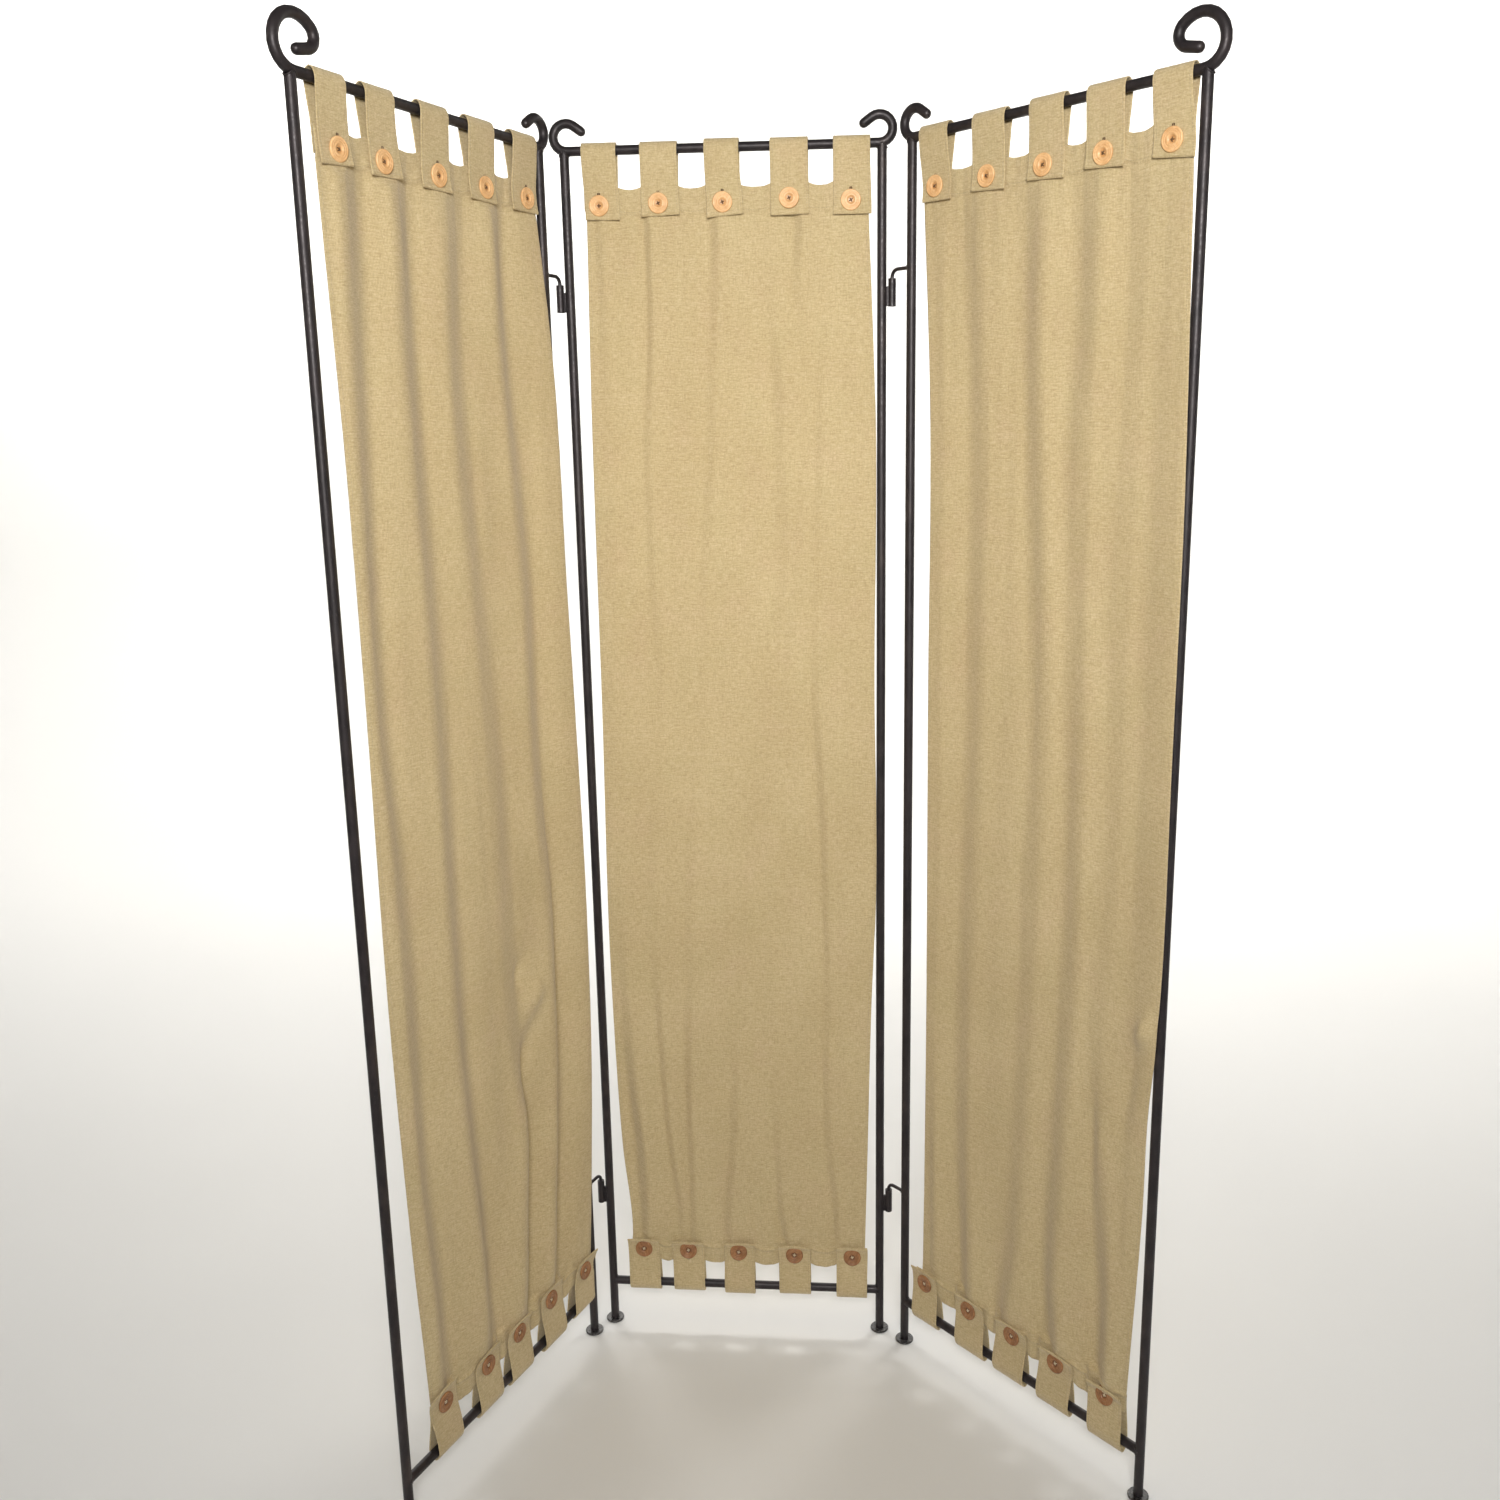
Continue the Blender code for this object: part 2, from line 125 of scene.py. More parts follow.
# The outline of each side, in millimetres: (height, u, y) from the lower end up.
EDGES = {
    "left": {
        "left": ((100, 54, 0), (350, 44, 2), (650, 36, 2), (1100, 36, 1), (1380, 34, 0),
                 (1720, 25, 0)),
        "right": ((100, 415, -3), (250, 422, -8), (420, 430, -12), (720, 436, -13.5), (1170, 427, -12),
                 (1550, 419, -8), (1720, 404, -1))},
    "middle": {
        "left": ((100, 31, 0), (160, 34, 1), (300, 24, 1), (550, 17, 0), (1020, 20.5, -1),
                 (1450, 23.5, -1), (1720, 28, 0)),
        "right": ((100, 401, -1), (300, 406, -1), (550, 412, -2), (710, 418, -3), (1050, 416, -3),
                 (1400, 417, -2), (1720, 406, 0))},
    "right": {
        "left": ((100, 37, 0), (500, 41, -2), (1030, 40, -3), (1440, 37, -2), (1720, 20, 0)),
        "right": ((100, 399, -1), (420, 413, -3), (560, 416, -5), (630, 423, -8), (720, 427.5, -9),
                 (1000, 427.5, -9), (1350, 426.5, -9), (1550, 420, -6), (1720, 412, -1))},
}

# Folds, in millimetres. Each has a steep flank and a gentle one: (steep width, whole width, ((height,
# u of the steep flank, depth), ...)). On the left curtain the crest is left of the steep flank,
# elsewhere right.
FOLDS = {
    "left": (
        (55, 120, ((100, 84, 2), (200, 83, 11), (300, 81, 11), (450, 71, 11), (600, 70, 11),
                  (750, 71, 11), (900, 67, 11), (1050, 58, 11), (1200, 58, 11), (1350, 61, 10),
                  (1550, 69, 9), (1670, 74, 9), (1720, 73, 1))),
        (55, 120, ((100, 180, 2), (200, 180, 14), (300, 178, 14), (450, 168, 12), (600, 161, 11),
                  (750, 161, 11), (900, 161, 10), (1050, 161, 9), (1200, 159, 9), (1350, 154, 9),
                  (1500, 151, 9), (1670, 154, 9), (1720, 152, 1))),
        (55, 120, ((100, 258, 2), (200, 262, 14), (300, 270, 15), (450, 283, 12), (550, 272, 6),
                  (750, 266, 6), (900, 267, 6), (1050, 257, 6), (1200, 249, 6), (1350, 236, 7),
                  (1500, 233, 8), (1670, 243, 6), (1720, 242, 1))),
        (55, 120, ((100, 330, 2), (200, 332, 13), (300, 341, 12), (450, 361, 8), (600, 364, 13),
                  (750, 366, 11), (900, 352, 10), (1050, 350, 10), (1200, 350, 9), (1350, 341, 9),
                  (1500, 329, 9), (1670, 327, 9), (1720, 326, 1)))),
    "middle": (
        (20, 60, ((100, 50, 3), (200, 52, 13), (300, 50, 12), (400, 43, 9), (500, 36, 7), (700, 30, 3),
                  (1100, 32, 3), (1400, 40, 3), (1550, 41, 5), (1660, 40, 6), (1720, 40, 1))),
        (10, 42, ((100, 112, 1), (200, 112, 5), (300, 100, 6), (400, 93, 5), (500, 89, 4),
                  (600, 85, 2), (800, 87, 1), (1000, 105, 1), (1200, 100, 3), (1400, 101, 4), (1500, 107, 6),
                  (1600, 110, 7), (1680, 109, 7), (1720, 108, 1))),
        (12, 45, ((100, 131, 2), (150, 131, 7), (250, 131, 6), (400, 130, 5), (600, 136, 3),
                  (800, 142, 2), (1000, 165, 1), (1200, 175, 2), (1400, 190, 3), (1500, 195, 3),
                  (1600, 199, 5), (1680, 200, 7), (1720, 199, 1))),
        (14, 60, ((100, 186, 1), (200, 187, 3), (300, 197, 3), (500, 205, 2), (900, 245, 1),
                  (1200, 285, 2), (1300, 284, 3), (1500, 280, 4), (1600, 270, 1), (1720, 270, 0))),
        (12, 50, ((100, 279, 2), (150, 278, 6), (200, 271, 5), (300, 267, 2), (500, 262, 1),
                  (700, 262, 0), (1500, 316, 1), (1600, 311, 4), (1680, 314, 7), (1720, 313, 1))),
        (11, 60, ((100, 360, 1), (200, 357, 4), (300, 347, 4), (450, 342, 4), (600, 343, 4),
                  (700, 341, 6), (800, 340, 7), (900, 337, 6), (1000, 331, 5), (1100, 331, 3),
                  (1300, 338, 2), (1400, 340, 3), (1550, 345, 1), (1720, 350, 1)))),
    "right": (
        (18, 50, ((100, 51, 2), (200, 52, 7), (500, 47, 6), (800, 47, 6), (1000, 50, 5), (1200, 50, 5),
                  (1400, 49, 4), (1600, 40, 3), (1720, 36, 1))),
        (20, 86, ((100, 124, 2), (150, 123, 9), (250, 119, 9), (400, 111, 8), (600, 110, 8),
                  (800, 116, 7), (1000, 120, 8), (1200, 120, 7), (1400, 119, 7), (1550, 110, 7),
                  (1650, 104, 6), (1720, 108, 1))),
        (20, 86, ((100, 190, 2), (150, 190, 8), (250, 203, 6), (400, 211, 5), (600, 218, 5),
                  (800, 220, 6), (1000, 227, 7), (1200, 219, 8), (1400, 208, 8), (1500, 201, 8),
                  (1650, 199, 7), (1720, 196, 1))),
        (20, 86, ((100, 280, 2), (150, 279, 9), (250, 271, 11), (400, 275, 10), (600, 282, 10),
                  (800, 286, 9), (1000, 283, 8), (1200, 277, 6), (1400, 273, 6), (1500, 279, 7),
                  (1650, 279, 7), (1720, 279, 1))),
        (18, 80, ((100, 360, 2), (150, 360, 11), (250, 360, 11), (400, 346, 8), (500, 333, 6),
                  (600, 330, 4), (800, 338, 2), (1000, 348, 3), (1200, 341, 2), (1400, 350, 3),
                  (1620, 350, 4), (1720, 349, 1)))),
}
# how much wider the folds are made than listed: (steep width, whole width)
FOLD_WIDENING = {"left": (1.0, 1.0), "middle": (1.65, 1.28), "right": (2.34, 1.30)}
# how much deeper the folds are made than listed: (height, factor), height in metres
FOLD_DEEPENING = {
    "left": ((0.10, 4.3), (0.20, 4.05), (0.30, 4.2), (0.45, 4.0), (0.60, 3.8), (0.75, 3.0), (0.90, 3.2),
             (1.50, 3.4)),
    "middle": ((0.10, 6.3), (0.20, 6.0), (0.30, 5.1), (0.40, 3.6), (0.50, 2.7), (0.60, 2.05), (0.90, 2.1),
               (1.00, 2.2)),
    "right": ((0.10, 3.9), (0.20, 3.95), (0.25, 3.6), (0.40, 2.65), (0.50, 2.37), (0.60, 2.1)),
}
# Narrow creases, listed as the folds are. They are not widened or deepened.
CREASES = {
    "left": (
        (15, 60, ((100, 318, 1), (200, 330, 12), (500, 358, 12), (720, 372, 8), (900, 366, 2),
                  (1100, 364, 0))),
        (15, 60, ((100, 256, 1), (180, 261, 12), (420, 280, 13), (520, 287, 6), (580, 290, 0),
                  (700, 290, 0)))),
    "middle": (),
    "right": (),
}
# About the steepest a flank may be on average, in metres forward for each metre along u. A deeper
# fold or crease is made no deeper than this allows.
STEEPEST_FLANK = 0.55
# Single bulges and dents, in metres: u, height, spread along u, spread up, lean of its axis, how far
# forward.
BUMPS = {
    "left": ((0.314, 0.615, 0.017, 0.026, 0.30, 0.0095), (0.292, 0.662, 0.012, 0.022, 0.40, -0.0055),
             (0.300, 0.530, 0.015, 0.045, 0.30, -0.0085), (0.180, 0.420, 0.020, 0.120, 0.0, 0.0015)),
    "middle": ((0.343, 0.700, 0.0075, 0.330, -0.020, -0.0026), (0.362, 0.650, 0.010, 0.300, 0.0, 0.0016),
               (0.404, 0.690, 0.007, 0.014, 0.0, 0.0030), (0.060, 0.330, 0.012, 0.090, -0.15, 0.0028),
               (0.200, 1.250, 0.030, 0.180, 0.0, 0.0012)),
    "right": ((0.405, 0.662, 0.012, 0.020, 0.25, 0.0110), (0.382, 0.560, 0.012, 0.070, 0.15, -0.0050),
              (0.330, 0.480, 0.009, 0.080, 0.0, -0.0045), (0.395, 0.330, 0.010, 0.100, 0.0, 0.0030)),
}

# ---- tabs
STRAP_THICKNESS = 0.0018
STRAP_STEPS = 72
SEAM_GROOVE = 0.862          # where the side seams run, as a share of the half width
END_SEAM = 0.0062            # the cross seam's distance from the flap's end
FREE_FLAP = 0.045            # length of the flap that curls and droops
LOOP_JITTER = (-0.0008, 0.0012)
LOOP = 0.0076                # middle of the strap where it goes round a rail
LOOP_SLACK = 0.0022          # how far a top loop stands above its rail
# for every strap, in millimetres: its width at the rail, how much wider its flap's end is, the middle's
# u at the rail and at the flap's end, the flap's length from the rail's axis, and how much lower its
# right corner is
TOP_TABS = {
    "left": ((45, 3, 48.5, 52.5, 84.5, -2), (46, 5, 123, 129.5, 85, -1), (49, 3, 213.6, 213.7, 86, 0),
             (50, 1, 299, 299.3, 86, 0.5), (50, 3, 386.3, 383.3, 87, 0)),
    "middle": ((47, 0, 47.7, 50.5, 89, 0.5), (50, 2, 128, 128.8, 85, -1),
              (46.5, 3, 212.3, 216, 87, -2.2), (50.5, 1, 302.1, 303, 88, -0.6),
              (49, 2, 385, 386, 89, 0)),
    "right": ((48, 0, 42.3, 47.8, 84.5, 0.5), (51, 2, 131.7, 131.3, 83, 1.8),
              (50, 4, 219, 218.7, 82.5, 1.8), (52, 1, 301.5, 301.2, 82, 2),
              (49.5, 4, 386.8, 391.2, 85, 3.2)),
}
BOTTOM_TABS = {
    "left": ((50, 3, 77.5, 69, 88, -3), (50, 2, 165, 162, 80, -3.5), (50, 1, 235, 233, 79, -1),
             (52, 1, 317, 313, 85, -1), (50, 2, 392.5, 403, 77.5, 0)),
    "middle": ((50, 0, 53.2, 52, 80, 0), (49.5, 2, 124, 123.2, 77.5, 0.4),
              (48, 0, 204.3, 204.5, 78, 0), (49.5, 1, 292, 291.5, 76.5, 0.6),
              (48, 1, 381.5, 382, 76.5, 0.6)),
    "right": ((50, -3, 47.8, 46, 78, 0), (54, -1, 136, 135, 75.5, 0.6),
              (55, 0, 208.5, 212.5, 75.5, 0.6), (55, 1, 286.8, 290.5, 73.5, 0.6),
              (54, 0, 373, 370, 68, 0)),
}
# how far each lower loop hangs below its rail, in millimetres
BOTTOM_SLACK = {"left": (4, 6, 5, 7, 3),
                "middle": (5, 5, 8, 5, 8),
                "right": (6, 8, 8, 9, 10)}

# ---- buttons
BUTTON_SIDES = 56
BUTTON_THICKNESS = 0.0036
DISH_LEVEL = 0.42            # height of the dished middle, as a share of the thickness
HOLE_RING = 0.0021           # from the button's middle to a hole's
HOLE_RADIUS = 0.0009
THREAD = 0.00042
STITCH_RADIUS = 0.00030
SEAM_INSET = 0.002           # from a band's edge to its stitches

# ---- iron
WELD_BEAD = 0.0011
COLLAR_BEAD = 0.0013
PINTLE_RADIUS = 0.0030
PLATE_SEAM = 0.0022          # from a hinge plate's middle to the bead on either face
MERGE_WITHIN = 0.00002       # vertices this close are shaded as one
SHARP_DEGREES = 40

rng = random.Random(5)


# ================================================================ geometry helpers
def metres(table):
    """A table of millimetres, as nested as it is, in metres."""
    return tuple(metres(entry) if isinstance(entry, tuple) else entry / 1000 for entry in table)


def clear_scene():
    for old in list(bpy.data.objects):
        bpy.data.objects.remove(old, do_unlink=True)


def mesh_object(name, vertices, faces, uvs=None, matrix=None, smooth=True):
    mesh = bpy.data.meshes.new(name)
    mesh.from_pydata([tuple(v) for v in vertices], [], faces)
    if uvs is not None:
        layer = mesh.uv_layers.new(name="cloth")
        loops = np.zeros(len(mesh.loops), np.int32)
        mesh.loops.foreach_get("vertex_index", loops)
        layer.data.foreach_set("uv", np.asarray(uvs, np.float32)[loops].ravel())
    mesh.update()
    if smooth:
        mesh.shade_smooth()
    obj = bpy.data.objects.new(name, mesh)
    bpy.context.scene.collection.objects.link(obj)
    if matrix is not None:
        obj.matrix_world = matrix
    return obj


def grid_faces(rows, columns, wrap=False):
    faces = []
    for row in range(rows - 1):
        for column in range(columns if wrap else columns - 1):
            following = (column + 1) % columns
            a = row * columns + column
            b = row * columns + following
            faces.append((a, b, b + columns, a + columns))
    return faces


def loft(rings, caps=True):
    """Vertices and faces of a closed body through rings of equal count."""
    rings = [np.asarray(ring, float) for ring in rings]
    count = len(rings[0])
    vertices = np.concatenate(rings)
    faces = grid_faces(len(rings), count, wrap=True)
    if caps:
        faces.append(tuple(range(count - 1, -1, -1)))
        last = len(vertices) - count
        faces.append(tuple(range(last, last + count)))
    return vertices, faces


def merge(bodies):
    """One vertex and face list from several."""
    vertices, faces, start = [], [], 0
    for body_vertices, body_faces in bodies:
        vertices.append(np.asarray(body_vertices, float))
        faces.extend(tuple(index + start for index in face) for face in body_faces)
        start += len(body_vertices)
    return np.concatenate(vertices), faces


def through(knots, at):
    """A smooth curve through (position, value) knots, read at the positions given."""
    x, y = np.array(sorted(knots), float).T
    at = np.asarray(at, float)
    slope = np.gradient(y, x)
    index = np.clip(np.searchsorted(x, at) - 1, 0, len(x) - 2)
    step = x[index + 1] - x[index]
    t = np.clip((at - x[index]) / step, 0, 1)
    return ((2 * t**3 - 3 * t**2 + 1) * y[index] + (t**3 - 2 * t**2 + t) * step * slope[index]
            + (3 * t**2 - 2 * t**3) * y[index + 1] + (t**3 - t**2) * step * slope[index + 1])


def smoothstep(low, high, value):
    t = np.clip((np.asarray(value, float) - low) / (high - low), 0, 1)
    return t * t * (3 - 2 * t)


def spaced_path(points, count):
    """count points at even spacing along a smooth curve through the points."""
    points = np.array(points, float)
    gaps = np.linalg.norm(np.diff(points, axis=0), axis=1)
    along = np.concatenate([[0], np.cumsum(gaps)])
    fine = np.linspace(0, along[-1], 600)
    curve = np.stack([through(list(zip(along, points[:, i])), fine) for i in range(points.shape[1])], 1)
    gaps = np.linalg.norm(np.diff(curve, axis=0), axis=1)
    length = np.concatenate([[0], np.cumsum(gaps)])
    even = np.linspace(0, length[-1], count)
    return np.stack([np.interp(even, length, curve[:, i]) for i in range(points.shape[1])], 1), length[-1]


def sides_along(points):
    """Two side directions at each point of a 3D line."""
    points = np.asarray(points, float)
    tangents = np.gradient(points, axis=0)
    tangents /= np.linalg.norm(tangents, axis=1)[:, None]
    guide = np.array((0.0, 0.0, 1.0)) if abs(tangents[0][2]) < 0.9 else np.array((1.0, 0.0, 0.0))
    first = np.cross(tangents[0], guide)
    first /= np.linalg.norm(first)
    sides = []
    for tangent in tangents:
        first = first - tangent * (first @ tangent)
        first /= np.linalg.norm(first)
        sides.append((first.copy(), np.cross(tangent, first)))
    return sides


def tube(points, radii, sides=10):
    """A closed round body along a line, with a radius for each point."""
    angles = np.linspace(0, math.tau, sides, endpoint=False)
    rings = []
    for point, radius, (a, b) in zip(np.asarray(points, float), radii, sides_along(points)):
        rings.append([point + radius * (math.cos(t) * a + math.sin(t) * b) for t in angles])
    return loft(rings)


# ================================================================ the panels' axes
class Panel:
    """One frame's axes and rails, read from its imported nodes."""

    def __init__(self, side):
        self.side = side
        self.body = f"{side}_panel"
        ends = []
        for post in SIDES[side]:
            low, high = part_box(post)
            ends.append((low + high) / 2)
            self.bar = max(high.x - low.x, high.y - low.y) / 2
        for end in ends:
            end.z = 0
        along = (ends[1] - ends[0]).normalized()
        back = Vector((0, 0, 1)).cross(along)
        self.matrix = Matrix.Translation(ends[0]) @ Matrix((along, back, (0, 0, 1))).transposed().to_4x4()
        self.width = (ends[1] - ends[0]).length
        self.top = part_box(f"{side}_top_rail")[0].z + self.bar
        low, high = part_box(f"{side}_bottom_rail")
        self.bottom = (low.z + high.z) / 2
        self.buttons = {row: [self.local(f"{side}_{row}_button_{i + 1}") for i in range(TABS)]
                        for row in ("top", "bottom")}

    def local(self, node):
        low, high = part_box(node)
        return self.matrix.inverted() @ ((low + high) / 2)

    def add(self, name, shape, material, slot, uvs=None, smooth=True):
        """A piece given in the panel's axes, riding on it."""
        obj = mesh_object(name, shape[0], shape[1], uvs, self.matrix, smooth)
        obj.data.materials.append(material)
        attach(obj, self.body)
        return obj


# ================================================================ curtain body
def window_sag(u, straps):
    """0 at a tab and 1 half way between two, with the rounded corners of a drawn-up edge."""
    beyond = np.min([np.abs(u - strap[2]) - strap[0] / 2 for strap in straps], axis=0)
    return np.sqrt(np.clip(beyond / 0.009, 0, 1)) * 0.75 + 0.25 * smoothstep(0, 0.02, beyond)


def folds_of(side):
    """Every fold as it is made: (steep width, whole width, [(height, u, depth), ...])."""
    steep_factor, whole_factor = FOLD_WIDENING[side]
    heights, factors = zip(*FOLD_DEEPENING[side])
    for steep, whole, knots in metres(FOLDS[side]):
        deepened = [(h, at, depth * np.interp(h, heights, factors)) for h, at, depth in knots]
        yield steep * steep_factor, whole * whole_factor, deepened
    yield from metres(CREASES[side])


def fold_offset(side, u, z):
    """y of the folds. The cloth comes forward fast across a steep flank and falls back slowly."""
    offset = np.zeros_like(u)
    crest_right = -1 if side == "left" else 1
    for steep, whole, knots in folds_of(side):
        deepest = STEEPEST_FLANK / (1 / steep - 1 / whole)
        place = through([(h, at) for h, at, _ in knots], z)
        depth = through([(h, min(d, deepest)) for h, _, d in knots], z)
        along = u - place
        fast = smoothstep(-steep / 2, steep / 2, along) - 0.5
        slow = smoothstep(-whole / 2, whole / 2, along) - 0.5
        offset -= crest_right * depth * (fast - slow)
    return offset


def fine_wrinkles(u, z, seed):
    """Soft upright creases and a slight unevenness, in metres."""
    out = np.zeros_like(u)
    flat_u, flat_z = u.ravel(), z.ravel()
    values = out.ravel()
    for i in range(len(values)):
        a, b = flat_u[i], flat_z[i]
        values[i] = (0.00075 * noise.noise(Vector((a * 34, b * 2.1, seed)))
                     + 0.00042 * noise.noise(Vector((a * 75, b * 4.5, seed + 9)))
                     + 0.00022 * noise.noise(Vector((a * 60, b * 42, seed + 17))))
    return values.reshape(u.shape)


class Curtain:
    """The cloth's surface as arrays: rows run down, columns to the right."""

    def __init__(self, panel):
        self.panel = panel
        side = panel.side
        self.straps = {"top": metres(TOP_TABS[side]), "bottom": metres(BOTTOM_TABS[side])}
        tops = [top_path(panel.top, strap[4], rng.uniform(*LOOP_JITTER)) for strap in self.straps["top"]]
        lows = [bottom_path(panel.bottom, strap[4], slack)
                for strap, slack in zip(self.straps["bottom"], metres(BOTTOM_SLACK[side]))]
        self.paths = {row: [spaced_path(path, STRAP_STEPS) for path in paths]
                      for row, paths in (("top", tops), ("bottom", lows))}
        head_z = panel.top - HEADER_DROP
        foot_z = panel.bottom + HEM_RISE
        level = np.concatenate([np.linspace(head_z, head_z - END_BAND, END_ROWS, endpoint=False),
                                np.linspace(head_z - END_BAND, foot_z + END_BAND, ROWS - 2 * END_ROWS),
                                np.linspace(foot_z + END_BAND, foot_z, END_ROWS + 1)[1:]])
        share = (head_z - level) / (head_z - foot_z)
        edges = {name: (through([(h, u) for h, u, _ in metres(knots)], level),
                        through([(h, y) for h, _, y in metres(knots)], level))
                 for name, knots in EDGES[side].items()}
        (left, left_y), (right, right_y) = edges["left"], edges["right"]
        border = np.linspace(0, BORDER, END_COLUMNS, endpoint=False)
        inner = np.linspace(BORDER, 1 - BORDER, COLUMNS - 2 * END_COLUMNS)
        across = np.concatenate([border, inner, 1 - border[::-1]])
        u = left[:, None] + (right - left)[:, None] * across
        z = np.repeat(level[:, None], COLUMNS, 1)
        y = fold_offset(side, u, z)
        from_left, from_right = u - left[:, None], right[:, None] - u
        y = y * smoothstep(-0.006, FOLD_FADE, from_left) * smoothstep(-0.006, FOLD_FADE, from_right)
        y += left_y[:, None] * (1 - smoothstep(0, EDGE_REACH, from_left))
        y += right_y[:, None] * (1 - smoothstep(0, EDGE_REACH, from_right))

        top_sag = window_sag(u, self.straps["top"])
        low_sag = window_sag(u, self.straps["bottom"])
        near_top = 1 - smoothstep(0.0, 0.05, share)[:, None]
        near_foot = smoothstep(0.94, 1.0, share)[:, None]
        z += (HEADER_RISE * (1 - top_sag) - 0.0012) * near_top
        sway = np.array([noise.noise(Vector((v * 30, 4.0, len(side)))) for v in u[-1]])
        z -= (HEM_SAG * (low_sag - 0.4) + 0.005 * sway[None, :]) * near_foot

        gather = np.sin(u * math.tau / GATHER_PITCH) * GATHER_DEPTH
        y += gather * (np.exp(-share / 0.05)[:, None] + np.exp(-(1 - share) / 0.05)[:, None])
        y += fine_wrinkles(u, z, 3.0 * len(side)) * (0.35 + 0.65 * smoothstep(0.02, 0.08, share))[:, None]
        for at, height, wide, tall, lean, forward in BUMPS[side]:
            along = (z - height) / tall
            offset = (u - at - lean * (z - height)) / wide
            y -= forward * np.exp(-along**2 - offset**2)
        below, above = z[0] - z, z - z[-1]
        y -= 0.0010 * (1 - smoothstep(HEADER_BAND - 0.0005, HEADER_BAND + 0.0012, below))
        y -= HEM_RIDGE * np.exp(-((above - HEM_BAND) / 0.0026) ** 2)
        y = self.clear_of_rails(u, y, z)
        y = self.held_by_straps(u, y, z)
        self.u, self.y, self.z = u, y, z

    def clear_of_rails(self, u, y, z):
        """Keeps the cloth off the posts where it passes in front of them."""
        guard = self.panel.bar + CLOTH_THICKNESS
        for post in (0.0, self.panel.width):
            reach = np.clip(1 - ((u - post) / (guard + 0.002)) ** 2, 0, 1)
            limit = -(guard + 0.0006) * np.sqrt(reach)
            y = np.where(reach > 0, np.minimum(y, limit), y)
        return y

    def held_by_straps(self, u, y, z):
        """Keeps the cloth between the back of each strap and its flap."""
        for row, rail, way in (("top", self.panel.top, -1), ("bottom", self.panel.bottom, 1)):
            away = way * (z - rail)
            for (width, _, at_rail, at_end, length, _), (path, _) in zip(self.straps[row], self.paths[row]):
                flap = path[STRAP_STEPS * 2 // 3:]
                front = np.interp(away, way * (flap[:, 1] - rail), flap[:, 0]) + 0.0021
                middle = at_rail + (at_end - at_rail) * smoothstep(0, 0.085, away)
                beside = smoothstep(width / 2 + 0.012, width / 2 + 0.001, np.abs(u - middle))
                y = y + beside * smoothstep(length + 0.012, length - 0.001, away) * np.maximum(front - y, 0)
                y = y - beside * smoothstep(0.084, 0.075, away) * np.maximum(y, 0)
        return y

    def row_near(self, height):
        """The row whose mean height is nearest."""
        return int(np.argmin(np.abs(self.z.mean(1) - height)))

    def points(self):
        return np.stack([self.u, self.y, self.z], -1)

    def thickness(self):
        """Layers of cloth at each vertex, as a share of the thickest: the bands are folded over."""
        below = self.z[0][None, :] - self.z
        above = self.z - self.z[-1][None, :]
        ends = np.minimum(self.u - self.u[:, :1], self.u[:, -1:] - self.u)
        layers = np.full_like(self.u, 0.45)
        layers += 0.45 * (1 - smoothstep(HEADER_BAND - 0.002, HEADER_BAND + 0.0015, below))
        layers += 0.45 * (1 - smoothstep(HEM_BAND - 0.002, HEM_BAND + 0.0015, above))
        layers += 0.25 * (1 - smoothstep(SIDE_HEM - 0.001, SIDE_HEM + 0.002, ends))
        return np.clip(layers, 0, 1)


def add_curtain(curtain, material):
    """The cloth as a piece, with its width along the header and its drop down the middle."""
    panel = curtain.panel
    points = curtain.points()
    widths = np.linalg.norm(np.diff(points, axis=1), axis=2)
    weft = np.concatenate([np.zeros((ROWS, 1)), np.cumsum(widths, 1)], 1)
    weft -= weft[:, COLUMNS // 2][:, None]
    drops = np.linalg.norm(np.diff(points[:, COLUMNS // 2], axis=0), axis=1)
    warp = -np.concatenate([[0], np.cumsum(drops)])
    uvs = np.stack([weft, np.repeat(warp[:, None], COLUMNS, 1)], -1).reshape(-1, 2)
    faces = grid_faces(ROWS, COLUMNS)
    cloth = panel.add(f"{panel.side}_cloth", (points.reshape(-1, 3), faces), material, "linen", uvs)
    group = cloth.vertex_groups.new(name="layers")
    for index, value in enumerate(curtain.thickness().ravel()):
        group.add([index], float(value), "REPLACE")
    thicken = cloth.modifiers.new("Solidify", "SOLIDIFY")
    thicken.thickness = 2 * CLOTH_THICKNESS
    thicken.offset = 0.0
    thicken.vertex_group = "layers"
    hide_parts(f"{panel.side}_curtain")
    return cloth, weft[0].max() - weft[0].min(), -warp[-1]


# ================================================================ tabs
def strap_section():
    """(across from -1 to 1, thickness share) of a turned and sewn strap, once round."""
    outline = [(0.0, 0.92), (0.35, 0.95), (0.70, 1.0), (0.82, 1.0), (SEAM_GROOVE, 0.72), (0.90, 1.0),
               (0.955, 0.95), (0.985, 0.62), (1.0, 0.0)]
    front = [(-a, h) for a, h in reversed(outline[1:])] + outline
    back = [(a, -h) for a, h in reversed(front[1:-1])]
    return front + back


def path_normals(path):
    """The side direction at each point of a (y, z) path."""
    tangent = np.gradient(path, axis=0)
    tangent /= np.linalg.norm(tangent, axis=1)[:, None]
    return np.stack([tangent[:, 1], -tangent[:, 0]], 1)


def strap_line(strap, from_end):
    """The middle's u and the half width of a strap, this far from its flap's end."""
    width, flare, at_rail, at_end = strap[:4]
    middle = at_rail + (at_end - at_rail) * smoothstep(0.085, 0.0, from_end) ** 1.2
    return middle, (width + flare * smoothstep(0.075, 0.0, from_end)) / 2


